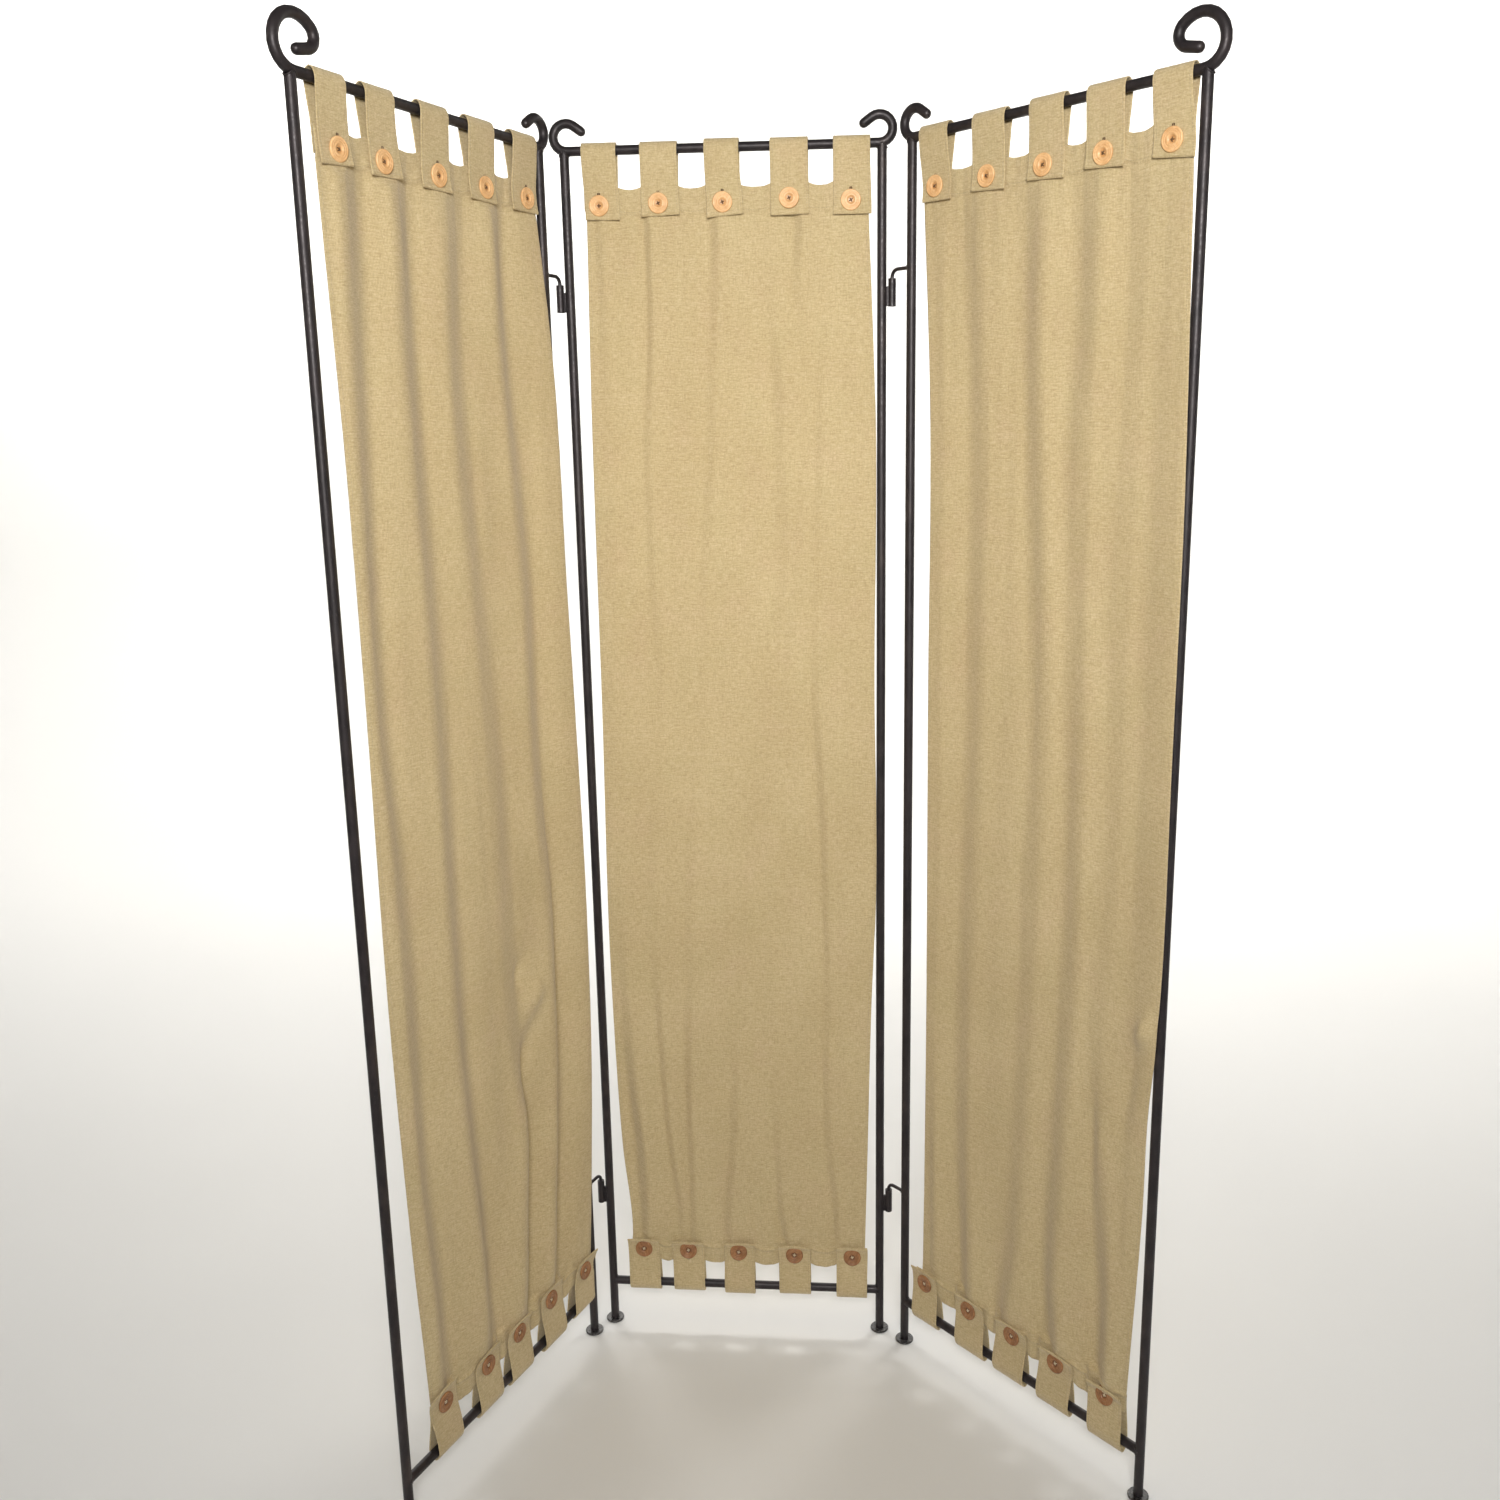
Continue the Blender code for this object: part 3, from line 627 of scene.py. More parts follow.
def strap_body(path, length, strap, lift):
    """A strap along a (y, z) path. The flap is the path's far end."""
    section = np.array(strap_section())
    centre, droop = strap[2], -strap[5]
    normal = path_normals(path)
    along = np.linspace(0, length, len(path))
    from_end = length - along
    rings, uvs = [], []
    for i in range(len(path)):
        s = from_end[i]
        thick = STRAP_THICKNESS / 2
        thick *= (1 + 0.75 * float(1 - smoothstep(0.0045, 0.0056, s))
                  - 0.45 * math.exp(-((s - END_SEAM) / 0.0008) ** 2))
        closing = min(s, along[i]) / (STRAP_THICKNESS * 0.6)
        thick *= math.sqrt(max(0.04, 1 - (1 - min(1.0, closing)) ** 2))
        flap = float(smoothstep(FREE_FLAP, 0.0, s))
        u0, half = strap_line(strap, s)
        across = section[:, 0] * half
        curl = lift * flap * np.abs(section[:, 0]) ** 2.2
        skew = droop * flap * section[:, 0]
        wobble = 0.0005 * noise.noise(Vector((centre * 90, along[i] * 40, 2.0)))
        y = path[i, 0] + normal[i, 0] * (thick * section[:, 1] + wobble) - curl
        z = path[i, 1] + normal[i, 1] * (thick * section[:, 1] + wobble) + skew
        rings.append(np.stack([u0 + across, y, z], 1))
        uvs.append(np.stack([across + centre * 7.0, np.full(len(across), along[i] + centre)], 1))
    vertices, faces = loft(rings)
    return (vertices, faces), np.concatenate(uvs)


def top_path(rail_z, end, jitter):
    slack = LOOP_SLACK + jitter
    points = [(0.0021, -0.076), (0.0022, -0.060), (0.0034, -0.040), (0.0064, -0.016)]
    for angle in (15, 50, 90, 130, 165):
        turn = math.radians(angle)
        points.append((LOOP * math.cos(turn), LOOP * math.sin(turn) + slack * math.sin(turn)))
    points += [(-0.0070, -0.014), (-0.0052, -0.036), (-0.0040, -0.056), (-0.0037, -0.068), (-0.0050, -end)]
    return [(y, rail_z + z) for y, z in points]


def bottom_path(rail_z, end, slack):
    points = [(0.0021, 0.070), (0.0024, 0.052), (0.0042, 0.034), (0.0074, 0.010), (0.0080, -0.002)]
    for angle in (35, 65, 90, 115, 145):
        turn = math.radians(angle)
        points.append((LOOP * math.cos(turn), -(LOOP + slack) * math.sin(turn) + 0.001))
    points += [(-0.0080, -0.002), (-0.0079, 0.012), (-0.0062, 0.030), (-0.0046, 0.046), (-0.0042, 0.057),
               (-0.0054, end - 0.009), (-0.0088, end)]
    return [(y, rail_z + z) for y, z in points]


def add_tabs(curtain, material):
    """Every strap of a panel, and where its button lies and how it leans."""
    panel = curtain.panel
    side = panel.side
    made, seats, seams = [], [], []
    for row, lift, way in (("top", 0.0012, -1), ("bottom", 0.0020, 1)):
        for i in range(TABS):
            button = panel.buttons[row][i]
            strap, (path, length) = curtain.straps[row][i], curtain.paths[row][i]
            shape, uvs = strap_body(path, length, strap, lift)
            tab = panel.add(f"{side}_{row}_tab_{i + 1}", shape, material, "linen", uvs)
            made.append(tab)
            at = int(np.argmin(np.abs(path[STRAP_STEPS // 2:, 1] - button.z))) + STRAP_STEPS // 2
            slope = path[min(at + 3, STRAP_STEPS - 1)] - path[at - 3]
            angle = math.atan2(slope[0], slope[1] * way) * way
            seat = Vector((button.x, path[at, 0] - STRAP_THICKNESS / 2, button.z))
            seats.append((row, i, seat, angle))
            seams.append((path, length, strap, lift))
    return made, seats, seams


# ================================================================ stitching
STITCH_RINGS = ((-1.0, 0.0), (-0.8, 0.75), (0.0, 1.0), (0.8, 0.75), (1.0, 0.0))


def stitch_bodies(places, radius, sides=5):
    """A small spindle of thread for each (centre, half run, outward) place."""
    bodies = []
    for centre, run, out in places:
        side = np.cross(run, out)
        side /= max(np.linalg.norm(side), 1e-9)
        rings = []
        for along, share in STITCH_RINGS:
            r = radius * max(share, 0.12)
            middle = centre + run * along + out * radius * 0.25
            rings.append([middle + r * (math.cos(t) * side + math.sin(t) * out)
                          for t in np.linspace(0, math.tau, sides, endpoint=False)])
        bodies.append(loft(rings))
    return bodies


def seam_places(line, out, pitch=0.0034, length=0.0024):
    """Stitch places evenly along a line of points, on the face that out points from."""
    line = np.asarray(line, float)
    gaps = np.linalg.norm(np.diff(line, axis=0), axis=1)
    along = np.concatenate([[0], np.cumsum(gaps)])
    count = max(2, int(along[-1] / pitch))
    places = []
    for s in (np.arange(count) + 0.5) * along[-1] / count:
        ends = [np.array([np.interp(s + d, along, line[:, k]) for k in range(3)])
                for d in (-length / 2, length / 2)]
        places.append(((ends[0] + ends[1]) / 2, (ends[1] - ends[0]) / 2, np.asarray(out, float)))
    return places


def curtain_seams(curtain):
    """The header's and the hem's seams, and one down each side hem, on both faces."""
    points = curtain.points()
    header = curtain.row_near(curtain.z[0].mean() - (HEADER_BAND - SEAM_INSET))
    hem = curtain.row_near(curtain.z[-1].mean() + (HEM_BAND - SEAM_INSET))
    level = [(points[row], 0.90, {}) for row in (header, hem)]
    upright = [(points[6:-6:2, column], 0.62, {"pitch": 0.0046, "length": 0.0032})
               for column in (3, COLUMNS - 4)]
    places = []
    for line, half, spacing in level + upright:
        for sign in (-1, 1):
            shifted = line + np.array((0, sign * CLOTH_THICKNESS * half, 0))
            places += seam_places(shifted, (0, sign, 0), **spacing)
    return places


def tab_seams(seams):
    """Stitches in the groove down both sides of every strap, and across its end."""
    places = []
    for path, length, strap, lift in seams:
        normal = path_normals(path)
        from_end = length - np.linspace(0, length, len(path))
        flap = smoothstep(FREE_FLAP, 0.0, from_end)
        middle, half = strap_line(strap, from_end)
        droop = -strap[5]
        face = STRAP_THICKNESS / 2 * 0.80
        shown = from_end > 0.007
        outward = 1 if normal[-1, 0] < 0 else -1
        for a in (-SEAM_GROOVE, SEAM_GROOVE):
            y = path[:, 0] + outward * normal[:, 0] * face - lift * flap * abs(a) ** 2.2
            z = path[:, 1] + outward * normal[:, 1] * face + droop * flap * a
            line = np.stack([middle + a * half, y, z], 1)[shown]
            normals = (outward * normal)[shown]
            for place in seam_places(line, (0, -1, 0), pitch=0.0040, length=0.0027):
                nearest = int(np.argmin(np.linalg.norm(line - place[0], axis=1)))
                out = np.array((0.0, normals[nearest, 0], normals[nearest, 1]))
                places.append((place[0], place[1], out))
        ends = []
        index = int(np.argmin(np.abs(from_end - END_SEAM)))
        for a in np.linspace(-0.80, 0.80, 15):
            y = path[index, 0] + outward * normal[index, 0] * face - lift * flap[index] * abs(a) ** 2.2
            ends.append((middle[index] + a * half[index], y, path[index, 1] + droop * flap[index] * a))
        places += seam_places(ends, (0, -1, 0), pitch=0.0036, length=0.0025)
    return places


def add_stitching(curtain, seams, material):
    places = curtain_seams(curtain) + tab_seams(seams)
    shape = merge(stitch_bodies(places, STITCH_RADIUS))
    return curtain.panel.add(f"{curtain.panel.side}_stitching", shape, material, "linen")


# ================================================================ buttons
def button_mesh(name, radius, thickness):
    """A turned wooden button: rolled rim, two grooves, a dished middle and four holes."""
    dish = thickness * DISH_LEVEL
    profile = [(0.0000, dish), (0.0030, dish), (0.0042, dish * 1.08), (0.0050, thickness * 0.70),
               (0.0055, thickness * 0.84), (0.0064, thickness * 0.88), (0.0076, thickness * 0.88),
               (0.0080, thickness * 0.78), (0.0084, thickness * 0.78), (0.0088, thickness * 0.90),
               (0.0099, thickness * 0.95), (0.0103, thickness * 0.86), (0.0107, thickness * 0.86),
               (0.0111, thickness * 0.97), (radius - 0.0018, thickness), (radius - 0.0009, thickness * 0.95),
               (radius - 0.0003, thickness * 0.80), (radius, thickness * 0.55),
               (radius - 0.0003, thickness * 0.28), (radius - 0.0011, thickness * 0.08),
               (radius - 0.0022, 0.0), (0.0, 0.0)]
    rings = []
    for r, h in profile:
        r = max(r, 0.00005)
        rings.append([(r * math.cos(t), r * math.sin(t), h)
                      for t in np.linspace(0, math.tau, BUTTON_SIDES, endpoint=False)])
    vertices, faces = loft(rings[::-1])
    body = mesh_object(name + "_blank", vertices, faces)
    drills = []
    for k in range(4):
        turn = math.radians(45 + 90 * k)
        x, y = HOLE_RING * math.cos(turn), HOLE_RING * math.sin(turn)
        ends = [[(x + HOLE_RADIUS * math.cos(t), y + HOLE_RADIUS * math.sin(t), z)
                 for t in np.linspace(0, math.tau, 14, endpoint=False)]
                for z in (-0.002, thickness + 0.002)]
        drills.append(loft(ends))
    drill = mesh_object(name + "_drill", *merge(drills))
    cut = body.modifiers.new("Holes", "BOOLEAN")
    cut.object = drill
    cut.solver = "EXACT"
    bpy.context.view_layer.update()
    graph = bpy.context.evaluated_depsgraph_get()
    mesh = bpy.data.meshes.new_from_object(body.evaluated_get(graph))
    mesh.name = name
    bpy.data.objects.remove(body)
    bpy.data.objects.remove(drill)
    mesh.shade_smooth()
    mesh.set_sharp_from_angle(angle=math.radians(50))
    return mesh


def button_thread(thickness):
    """Two crossed double stitches through the holes."""
    bodies = []
    level = thickness * DISH_LEVEL
    for k in range(2):
        turn = math.radians(45 + 90 * k)
        way = np.array((math.cos(turn), math.sin(turn), 0))
        line = [way * s * HOLE_RING + np.array((0, 0, level + h + 0.0002 * k))
                for s, h in ((-1.0, -0.0012), (-0.9, 0.0001), (-0.5, 0.0006), (0, 0.0008),
                             (0.5, 0.0006), (0.9, 0.0001), (1.0, -0.0012))]
        for shift in (-0.00035, 0.00035):
            aside = np.array((-way[1], way[0], 0)) * shift
            bodies.append(tube([p + aside for p in line], [THREAD] * len(line), 7))
    return merge(bodies)


def add_buttons(panel, seats, materials):
    for row, i, seat, angle in seats:
        node = f"{panel.side}_{row}_button_{i + 1}"
        data = BUTTONS[row].copy()
        button = bpy.data.objects.new(f"{panel.side}_{row}_disc_{i + 1}", data)
        bpy.context.scene.collection.objects.link(button)
        stand = Vector((0, -0.00035, 0))
        turn = Matrix.Rotation(angle + rng.uniform(-0.05, 0.05), 4, "X")
        roll = Matrix.Rotation(rng.uniform(0, math.tau), 4, "Z")
        face = Matrix.Rotation(math.pi / 2, 4, "X")
        place = panel.matrix @ Matrix.Translation(seat + stand) @ turn @ face
        button.matrix_world = place @ roll
        button.data.materials.clear()
        button.data.materials.append(materials["pale_wood" if row == "top" else "brown_wood"])
        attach(button, panel.body)
        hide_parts(node)
        thread = mesh_object(f"{panel.side}_{row}_thread_{i + 1}", *button_thread(BUTTON_THICKNESS),
                             matrix=place @ roll)
        thread.data.materials.append(materials["dark_thread" if row == "top" else "pale_thread"])
        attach(thread, panel.body)
        add_buttonhole(panel, row, i, place, materials)


def add_buttonhole(panel, row, i, place, materials):
    """A worked buttonhole: two rows of close stitches, showing beyond the button's edge."""
    beyond = 1 if row == "top" else -1
    places = []
    run, out = np.array((0.0009, 0.0, 0.0)), np.array((0.0, 0.0, 1.0))
    start, stop = BUTTON_RADIUS - 0.006, BUTTON_RADIUS + 0.0022
    for k in range(16):
        v = beyond * (start + (stop - start) * k / 15)
        for aside in (-0.0011, 0.0011):
            places.append((np.array((aside, v, -0.0002)), run, out))
    places.append((np.array((0, beyond * (stop + 0.0006), -0.0002)), run * 2.0, out))
    shape = merge(stitch_bodies(places, STITCH_RADIUS))
    hole = mesh_object(f"{panel.side}_{row}_buttonhole_{i + 1}", *shape, matrix=place)
    hole.data.materials.append(materials["dark_thread" if row == "top" else "linen_thread"])
    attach(hole, panel.body)


# ================================================================ iron
def bead(name, body, line, radius, material, closed=True):
    """A lumpy weld bead along a line of points in the row frame."""
    line = np.asarray(line, float)
    radii = []
    for point in line:
        lump = noise.noise(Vector(point) * 420) * 0.30 + noise.noise(Vector(point) * 900) * 0.15
        radii.append(radius * (1.0 + lump))
    if closed:
        line = np.concatenate([line, line[:1]])
        radii.append(radii[0])
    obj = mesh_object(name, *tube(line, radii, 9))
    obj.data.materials.append(material)
    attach(obj, body)
    return obj


def saddle(panel, centre, axis, across, radius, steps=34):
    """Where a round bar of this radius, running along axis, meets a panel's bar that runs along across."""
    points = []
    third = axis.cross(across)
    bar = panel.bar
    for step in range(steps):
        t = math.tau * step / steps
        side = radius * math.sin(t)
        reach = math.sqrt(max(bar * bar - side * side, 0.0))
        points.append(centre + axis * reach + across * radius * math.cos(t) + third * side)
    return points


def add_welds(panel, material):
    x, z = Vector((1, 0, 0)), Vector((0, 0, 1))
    for end, u in (("left", 0.0), ("right", panel.width)):
        inward = x if u == 0.0 else -x
        top = saddle(panel, Vector((u, 0, panel.top)), -z, x, panel.bar)
        low = saddle(panel, Vector((u, 0, panel.bottom)), inward, z, panel.bar)
        for level, points in (("top", top), ("bottom", low)):
            placed = [panel.matrix @ p for p in points]
            bead(f"{panel.side}_{end}_{level}_weld", panel.body, placed, WELD_BEAD, material)


def add_hinge_welds(panels, material):
    """Beads where each barrel's plate meets its post, and a collar where each pintle leaves its post."""
    middle = panels["middle"]
    inverse = middle.matrix.inverted()
    for level in ("upper", "lower"):
        for side in ("left", "right"):
            low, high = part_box(f"{level}_{side}_hinge_barrel")
            a, b = inverse @ low, inverse @ high
            post_u = 0.0 if side == "left" else middle.width
            out = -1 if side == "left" else 1
            foot, head = a.z + 0.001, a.z + (b.z - a.z) * 0.70
            for face, y in (("front", -PLATE_SEAM), ("back", PLATE_SEAM)):
                line = [middle.matrix @ Vector((post_u + out * (middle.bar + 0.0001), y, h))
                        for h in np.linspace(foot, head, 14)]
                name = f"{level}_{side}_plate_{face}_weld"
                bead(name, middle.body, line, WELD_BEAD, material, closed=False)
            panel = panels[side]
            rod_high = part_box(f"{level}_{side}_pintle")[1]
            post = panel.width if side == "left" else 0.0
            away = 1 if side == "left" else -1
            centre = Vector((post, 0, rod_high.z - 0.0025))
            ring = saddle(panel, centre, Vector((away, 0, 0)), Vector((0, 0, 1)), PINTLE_RADIUS, 20)
            placed = [panel.matrix @ p for p in ring]
            bead(f"{level}_{side}_pintle_weld", panel.body, placed, COLLAR_BEAD, material)


def smooth_iron(obj, group):
    """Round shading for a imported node, without touching its vertices."""
    for name in ("custom_normal", "sharp_edge", "sharp_face"):
        attribute = obj.data.attributes.get(name)
        if attribute is not None:
            obj.data.attributes.remove(attribute)
    shading = obj.modifiers.new("Round shading", "NODES")
    shading.node_group = group


def round_shading_group():
    group = bpy.data.node_groups.new("round_shading", "GeometryNodeTree")
    group.interface.new_socket("Geometry", in_out="INPUT", socket_type="NodeSocketGeometry")
    group.interface.new_socket("Geometry", in_out="OUTPUT", socket_type="NodeSocketGeometry")
    nodes, links = group.nodes, group.links
    source, target = nodes.new("NodeGroupInput"), nodes.new("NodeGroupOutput")
    weld = nodes.new("GeometryNodeMergeByDistance")
    weld.inputs["Distance"].default_value = MERGE_WITHIN
    faces = nodes.new("GeometryNodeSetShadeSmooth")
    edges = nodes.new("GeometryNodeSetShadeSmooth")
    edges.domain = "EDGE"
    edges.inputs["Shade Smooth"].default_value = False
    angle = nodes.new("GeometryNodeInputMeshEdgeAngle")
    steep = nodes.new("FunctionNodeCompare")
    steep.data_type = "FLOAT"
    steep.operation = "GREATER_THAN"
    steep.inputs[1].default_value = math.radians(SHARP_DEGREES)
    links.new(source.outputs[0], weld.inputs["Geometry"])
    links.new(weld.outputs[0], faces.inputs["Geometry"])
    links.new(faces.outputs[0], edges.inputs["Geometry"])
    links.new(angle.outputs["Unsigned Angle"], steep.inputs[0])
    links.new(steep.outputs[0], edges.inputs["Selection"])
    links.new(edges.outputs[0], target.inputs[0])
    return group


# ================================================================ materials
class Nodes:
    """Short calls for building a material's nodes."""

    def __init__(self, name, roughness, metallic=0.0, **fixed):
        self.material = bpy.data.materials.new(name)
        self.material.use_nodes = True
        self.tree = self.material.node_tree
        self.shader = self.tree.nodes["Principled BSDF"]
        self.shader.inputs["Roughness"].default_value = roughness
        self.shader.inputs["Metallic"].default_value = metallic
        for socket, value in fixed.items():
            self.shader.inputs[socket.replace("_", " ")].default_value = value

    def add(self, kind, **values):
        node = self.tree.nodes.new(kind)
        for key, value in values.items():
            setattr(node, key, value)
        return node

    def link(self, a, b):
        self.tree.links.new(a, b)

    def coordinates(self, scale, source="Object", uv=None):
        """Texture coordinates stretched by scale."""
        if uv:
            start = self.add("ShaderNodeUVMap", uv_map=uv).outputs["UV"]
        else:
            start = self.add("ShaderNodeTexCoord").outputs[source]
        mapping = self.add("ShaderNodeMapping")
        mapping.inputs["Scale"].default_value = scale
        self.link(start, mapping.inputs["Vector"])
        return mapping.outputs["Vector"]

    def noise(self, vector, scale=1.0, detail=3.0, rough=0.55):
        node = self.add("ShaderNodeTexNoise")
        node.inputs["Scale"].default_value = scale
        node.inputs["Detail"].default_value = detail
        node.inputs["Roughness"].default_value = rough
        self.link(vector, node.inputs["Vector"])
        return node.outputs["Fac"]

    def waves(self, vector, direction, scale, distortion=0.0):
        node = self.add("ShaderNodeTexWave", wave_type="BANDS", bands_direction=direction)
        node.inputs["Scale"].default_value = scale
        node.inputs["Distortion"].default_value = distortion
        node.inputs["Detail"].default_value = 2.0
        self.link(vector, node.inputs["Vector"])
        return node.outputs["Fac"]

    def span(self, value, low, high, to_low=0.0, to_high=1.0):
        node = self.add("ShaderNodeMapRange")
        sockets = ("From Min", "From Max", "To Min", "To Max")
        for socket, number in zip(sockets, (low, high, to_low, to_high)):
            node.inputs[socket].default_value = number
        self.link(value, node.inputs["Value"])
        return node.outputs["Result"]

    def math(self, operation, a, b):
        node = self.add("ShaderNodeMath", operation=operation)
        for socket, value in zip(node.inputs, (a, b)):
            if isinstance(value, (int, float)):
                socket.default_value = value
            else:
                self.link(value, socket)
        return node.outputs[0]

    def mix(self, factor, a, b, blend="MIX"):
        node = self.add("ShaderNodeMix", data_type="RGBA", blend_type=blend)
        for socket, value in ((node.inputs[0], factor), (node.inputs[6], a), (node.inputs[7], b)):
            if isinstance(value, (int, float)):
                socket.default_value = value
            elif isinstance(value, tuple):
                socket.default_value = (*value, 1.0)
            else:
                self.link(value, socket)
        return node.outputs[2]

    def bump(self, height, distance, strength=1.0):
        node = self.add("ShaderNodeBump")
        node.inputs["Strength"].default_value = strength
        node.inputs["Distance"].default_value = distance
        self.link(height, node.inputs["Height"])
        self.link(node.outputs["Normal"], self.shader.inputs["Normal"])

    def set(self, socket, value):
        self.link(value, self.shader.inputs[socket])


def linen_material():
    """Natural linen: sandy yarn, uneven weft slubs, a plain weave with painted shade in the gaps between its
    threads, and faint blotches.
    """
    n = Nodes("linen", 0.92, Sheen_Weight=0.25, Sheen_Roughness=0.5, Specular_IOR_Level=0.2)
    blotches = n.noise(n.coordinates((9, 7, 1), uv="cloth"), 1.0, 3.0)
    tint = n.noise(n.coordinates((17, 13, 1), uv="cloth"), 1.0, 2.0)
    speckle = n.noise(n.coordinates((420, 420, 1), uv="cloth"), 1.0, 2.0, 0.6)
    slubs = n.noise(n.coordinates((105, 560, 1), uv="cloth"), 1.0, 3.0, 0.62)
    long_slubs = n.noise(n.coordinates((9, 260, 1), uv="cloth"), 1.0, 2.0)
    warps = n.noise(n.coordinates((540, 85, 1), uv="cloth"), 1.0, 2.0)
    colour = n.mix(n.span(blotches, 0.3, 0.7), (0.560, 0.443, 0.238), (0.640, 0.520, 0.295))
    colour = n.mix(n.span(tint, 0.52, 0.72, 0.0, 0.35), colour, (0.545, 0.460, 0.240))
    colour = n.mix(n.span(tint, 0.46, 0.28, 0.0, 0.30), colour, (0.620, 0.455, 0.290))
    colour = n.mix(n.span(speckle, 0.50, 0.70, 0.0, 0.34), colour, (0.380, 0.275, 0.140))
    colour = n.mix(n.span(speckle, 0.50, 0.30, 0.0, 0.34), colour, (0.800, 0.690, 0.460))
    colour = n.mix(n.span(slubs, 0.50, 0.70, 0.0, 0.55), colour, (0.380, 0.270, 0.135))
    colour = n.mix(n.span(slubs, 0.48, 0.30, 0.0, 0.40), colour, (0.790, 0.680, 0.450))
    colour = n.mix(n.span(long_slubs, 0.52, 0.75, 0.0, 0.22), colour, (0.740, 0.620, 0.400))
    colour = n.mix(n.span(warps, 0.50, 0.70, 0.0, 0.45), colour, (0.420, 0.310, 0.165))
    weave = n.coordinates((1, 1, 1), uv="cloth")
    weft = n.waves(weave, "Y", 190.0, 1.2)
    warp = n.waves(weave, "X", 175.0, 1.2)
    crossing = n.math("MULTIPLY", weft, warp)
    # painted shade: the gaps between the threads, where the weave lies lowest, are darkened
    colour = n.mix(n.span(crossing, 0.0, 0.6, 0.28, 0.0), colour, (0.330, 0.235, 0.120))
    n.set("Base Color", colour)
    height = n.math("ADD", n.math("MULTIPLY", crossing, 0.6), n.math("MULTIPLY", slubs, 0.9))
    n.bump(height, 0.0004, 0.8)
    return n.material


def thread_material(name, colour):
    n = Nodes(name, 0.8, Sheen_Weight=0.2, Specular_IOR_Level=0.25)
    twist = n.noise(n.coordinates((900, 900, 2400)), 1.0, 2.0)
    dark = tuple(c * 0.6 for c in colour)
    n.set("Base Color", n.mix(n.span(twist, 0.35, 0.65), dark, colour))
    n.bump(twist, 0.0002, 0.6)
    return n.material


def wood_material(name, light, dark, deep):
    """Turned wood: fine fibres across the disc, growth streaks, fine darker rings, and painted shade
    darkening the dished middle.
    """
    n = Nodes(name, 0.42, Coat_Weight=0.25, Coat_Roughness=0.25, Specular_IOR_Level=0.45)
    info = n.add("ShaderNodeObjectInfo")
    shift = n.add("ShaderNodeVectorMath", operation="ADD")
    grain = n.coordinates((70, 420, 260))
    offset = n.math("MULTIPLY", info.outputs["Random"], 37.0)
    n.link(grain, shift.inputs[0])
    n.link(offset, shift.inputs[1])
    fibres = n.noise(shift.outputs[0], 1.0, 5.0, 0.6)
    broad = n.noise(n.coordinates((120, 160, 100)), 1.0, 2.0)
    colour = n.mix(n.span(fibres, 0.35, 0.68), dark, light)
    colour = n.mix(n.span(broad, 0.45, 0.70, 0.0, 0.45), colour, deep)
    place = n.add("ShaderNodeSeparateXYZ")
    n.link(n.add("ShaderNodeTexCoord").outputs["Object"], place.inputs[0])
    across = n.math("MULTIPLY", place.outputs["X"], place.outputs["X"])
    up = n.math("MULTIPLY", place.outputs["Y"], place.outputs["Y"])
    radius = n.math("SQRT", n.math("ADD", across, up), 0.0)
    # painted shade: the dished middle is darkened, most towards its centre, where the hollow lies
    colour = n.mix(n.span(radius, 0.0036, 0.0050, 0.75, 0.0), colour, deep)
    rings = n.math("SINE", n.math("MULTIPLY", radius, 4200.0), 0.0)
    colour = n.mix(n.span(rings, 0.2, 1.0, 0.0, 0.25), colour, deep)
    n.set("Base Color", colour)
    n.set("Roughness", n.span(fibres, 0.3, 0.7, 0.55, 0.36))
    n.bump(n.math("ADD", fibres, n.math("MULTIPLY", rings, 0.12)), 0.00012, 0.6)
    return n.material


def iron_material():
    """Blackened iron: brown-black paint, slightly lumpy, rubbed and dusty in places."""
    n = Nodes("iron", 0.45, 0.35, Specular_IOR_Level=0.5)
    lumps = n.noise(n.coordinates((55, 55, 30)), 1.0, 4.0)
    fine = n.noise(n.coordinates((520, 520, 380)), 1.0, 3.0)
    rubs = n.noise(n.coordinates((26, 26, 9)), 1.0, 5.0, 0.7)
    colour = n.mix(n.span(lumps, 0.3, 0.7), (0.018, 0.015, 0.017), (0.038, 0.030, 0.032))
    colour = n.mix(n.span(rubs, 0.56, 0.74, 0.0, 0.5), colour, (0.085, 0.062, 0.052))
    colour = n.mix(n.span(fine, 0.62, 0.80, 0.0, 0.45), colour, (0.110, 0.100, 0.100))
    n.set("Base Color", colour)
    n.set("Roughness", n.span(fine, 0.3, 0.7, 0.34, 0.56))
    n.bump(n.math("ADD", n.math("MULTIPLY", lumps, 1.6), n.math("MULTIPLY", fine, 0.35)), 0.0005, 0.55)
    return n.material


def foot_material():
    n = Nodes("glide", 0.28, 0.0, Specular_IOR_Level=0.55, Coat_Weight=0.3)
    dust = n.noise(n.coordinates((210, 210, 210)), 1.0, 4.0)
    colour = n.mix(n.span(dust, 0.45, 0.75, 0.0, 0.7), (0.022, 0.020, 0.021), (0.120, 0.110, 0.105))
    n.set("Base Color", colour)
    n.set("Roughness", n.span(dust, 0.4, 0.7, 0.24, 0.50))
    n.bump(dust, 0.0003, 0.3)
    return n.material


def make_materials():
    return {
        "linen": linen_material(),
        "linen_thread": thread_material("linen_thread", (0.52, 0.42, 0.26)),
        "dark_thread": thread_material("dark_thread", (0.16, 0.085, 0.035)),
        "pale_thread": thread_material("pale_thread", (0.78, 0.66, 0.45)),
        "pale_wood": wood_material("pale_wood", (0.86, 0.56, 0.29), (0.80, 0.47, 0.21),
                                   (0.56, 0.27, 0.09)),
        "brown_wood": wood_material("brown_wood", (0.44, 0.215, 0.09), (0.29, 0.125, 0.045),
                                    (0.14, 0.052, 0.02)),
        "iron": iron_material(),
        "foot": foot_material(),
    }


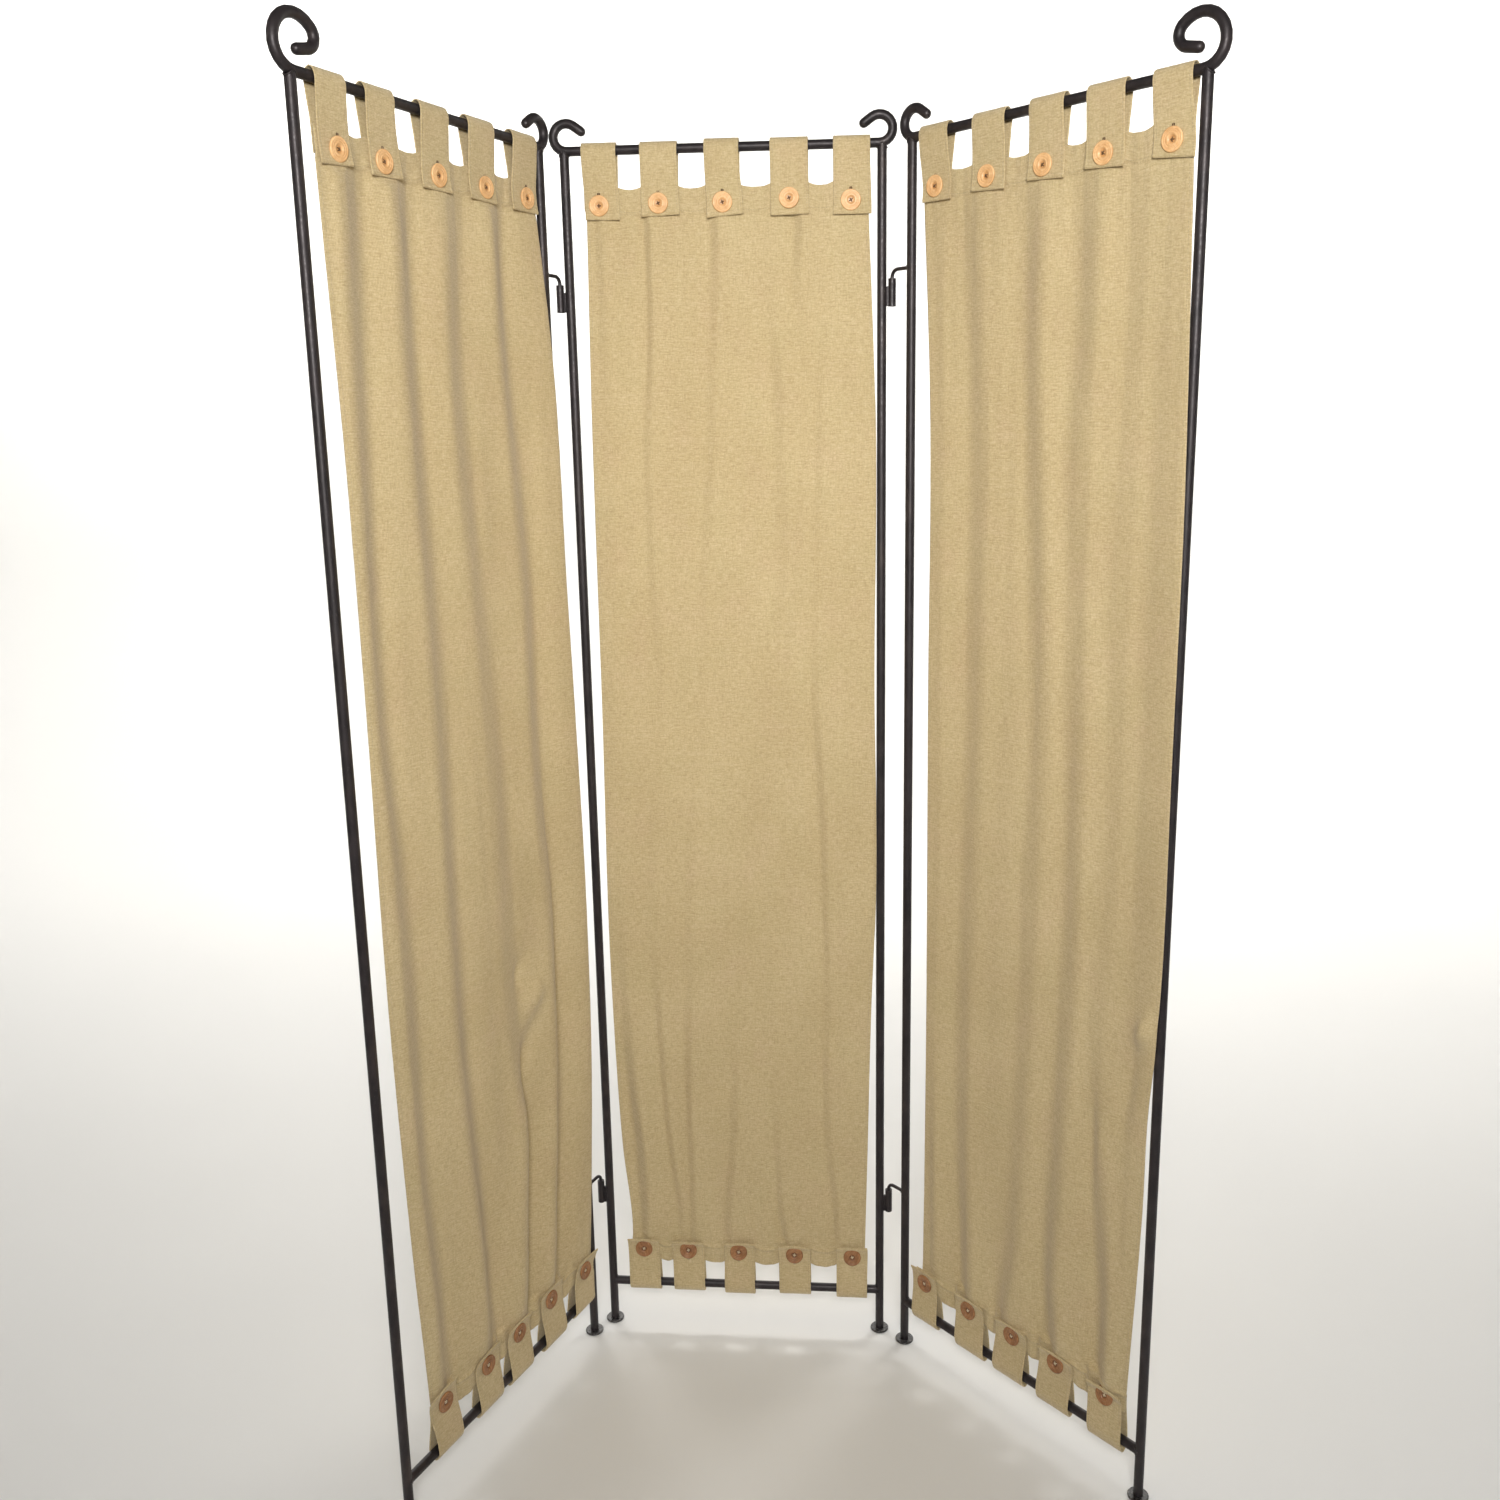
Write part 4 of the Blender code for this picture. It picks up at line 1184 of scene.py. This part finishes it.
# ================================================================ stage
def add_lamp(name, place, aim, size, power, colour=(1.0, 0.98, 0.95), spread=180, hidden=False):
    lamp = bpy.data.lights.new(name, "AREA")
    lamp.shape = "SQUARE"
    lamp.size = size
    lamp.energy = power
    lamp.color = colour
    lamp.spread = math.radians(spread)
    light = bpy.data.objects.new(name, lamp)
    light.location = place
    light.rotation_euler = (Vector(aim) - Vector(place)).to_track_quat("-Z", "Y").to_euler()
    light.visible_camera = not hidden
    bpy.context.scene.collection.objects.link(light)


def add_stage():
    """A pale floor that curves up into a round backdrop, a soft key light above the front, a lit
    back wall and a dim even room."""
    profile = [(0.0001, 0.0), (1.0, 0.0), (2.2, 0.0), (3.3, 0.0)]
    for angle in range(10, 91, 10):
        turn = math.radians(angle)
        profile.append((3.3 + math.sin(turn), 1 - math.cos(turn)))
    profile.append((4.3, 5.0))
    rings = [[(r * math.cos(t), r * math.sin(t), z) for t in np.linspace(0, math.tau, 64, endpoint=False)]
             for r, z in profile]
    vertices, faces = loft(rings, caps=False)
    floor = mesh_object("floor", vertices, [face[::-1] for face in faces])
    n = Nodes("floor", 0.9, Specular_IOR_Level=0.1)
    mottle = n.noise(n.coordinates((0.8, 0.8, 0.8)), 1.0, 2.0)
    n.set("Base Color", n.mix(n.span(mottle, 0.3, 0.7), (0.77, 0.77, 0.76), (0.80, 0.80, 0.79)))
    floor.data.materials.append(n.material)
    floor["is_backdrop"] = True

    world = bpy.context.scene.world or bpy.data.worlds.new("room")
    bpy.context.scene.world = world
    world.use_nodes = True
    world.node_tree.nodes["Background"].inputs["Color"].default_value = (1.0, 0.94, 0.87, 1.0)
    world.node_tree.nodes["Background"].inputs["Strength"].default_value = 0.13

    add_lamp("key_light", (0.22, -2.10, 1.90), (0.0, 0.15, 1.35), 0.60, 21, spread=110, hidden=True)
    for name, x in (("left", -1.6), ("right", 1.6)):
        add_lamp(f"{name}_wall_light", (x, 2.3, 3.3), (x * 0.7, 4.3, 0.9), 1.2, 85, hidden=True)


def add_camera(middle):
    foot_line = middle.matrix @ Vector((middle.width / 2, 0, 0))
    yaw, pitch, roll = (math.radians(a) for a in (CAMERA_YAW, CAMERA_PITCH, CAMERA_ROLL))
    ahead = Vector((math.sin(yaw) * math.cos(pitch), math.cos(yaw) * math.cos(pitch), -math.sin(pitch)))
    level = Vector((math.cos(yaw), -math.sin(yaw), 0))
    upright = level.cross(ahead)
    right = math.cos(roll) * level + math.sin(roll) * upright
    up = -math.sin(roll) * level + math.cos(roll) * upright
    data = bpy.data.cameras.new("camera")
    data.lens = LENS_MM
    data.sensor_width = SENSOR_MM
    data.shift_x, data.shift_y = SHIFT
    camera = bpy.data.objects.new("camera", data)
    turn = Matrix((right, up, -ahead)).transposed().to_4x4()
    camera.matrix_world = Matrix.Translation(foot_line + Vector(CAMERA_OFFSET)) @ turn
    bpy.context.scene.collection.objects.link(camera)
    bpy.context.scene.camera = camera


# ================================================================ the object
def dress_frame(frame, materials):
    """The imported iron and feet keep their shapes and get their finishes."""
    group = round_shading_group()
    for name, obj in frame["nodes"].items():
        if name.endswith("_curtain") or "_button_" in name:
            continue
        smooth_iron(obj, group)
        obj.data.materials[0] = materials["foot" if name.endswith("_foot") else "iron"]


def dress_panel(panel, materials):
    curtain = Curtain(panel)
    cloth, width, length = add_curtain(curtain, materials["linen"])
    tabs, seats, seams = add_tabs(curtain, materials["linen"])
    stitching = add_stitching(curtain, seams, materials["linen_thread"])
    add_buttons(panel, seats, materials)
    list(tabs)
    add_welds(panel, materials["iron"])


clear_scene()
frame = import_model()
panels = {side: Panel(side) for side in SIDES}
low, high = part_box("middle_top_button_1")
BUTTON_RADIUS = (high.z - low.z) / 2
BUTTONS = {row: button_mesh(f"{row}_button", BUTTON_RADIUS, BUTTON_THICKNESS) for row in ("top", "bottom")}
materials = make_materials()
add_camera(panels["middle"])
add_stage()
dress_frame(frame, materials)
for panel in panels.values():
    dress_panel(panel, materials)
add_hinge_welds(panels, materials["iron"])
bpy.context.scene.view_settings.view_transform = "Standard"

bpy.context.view_layer.update()
low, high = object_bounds()
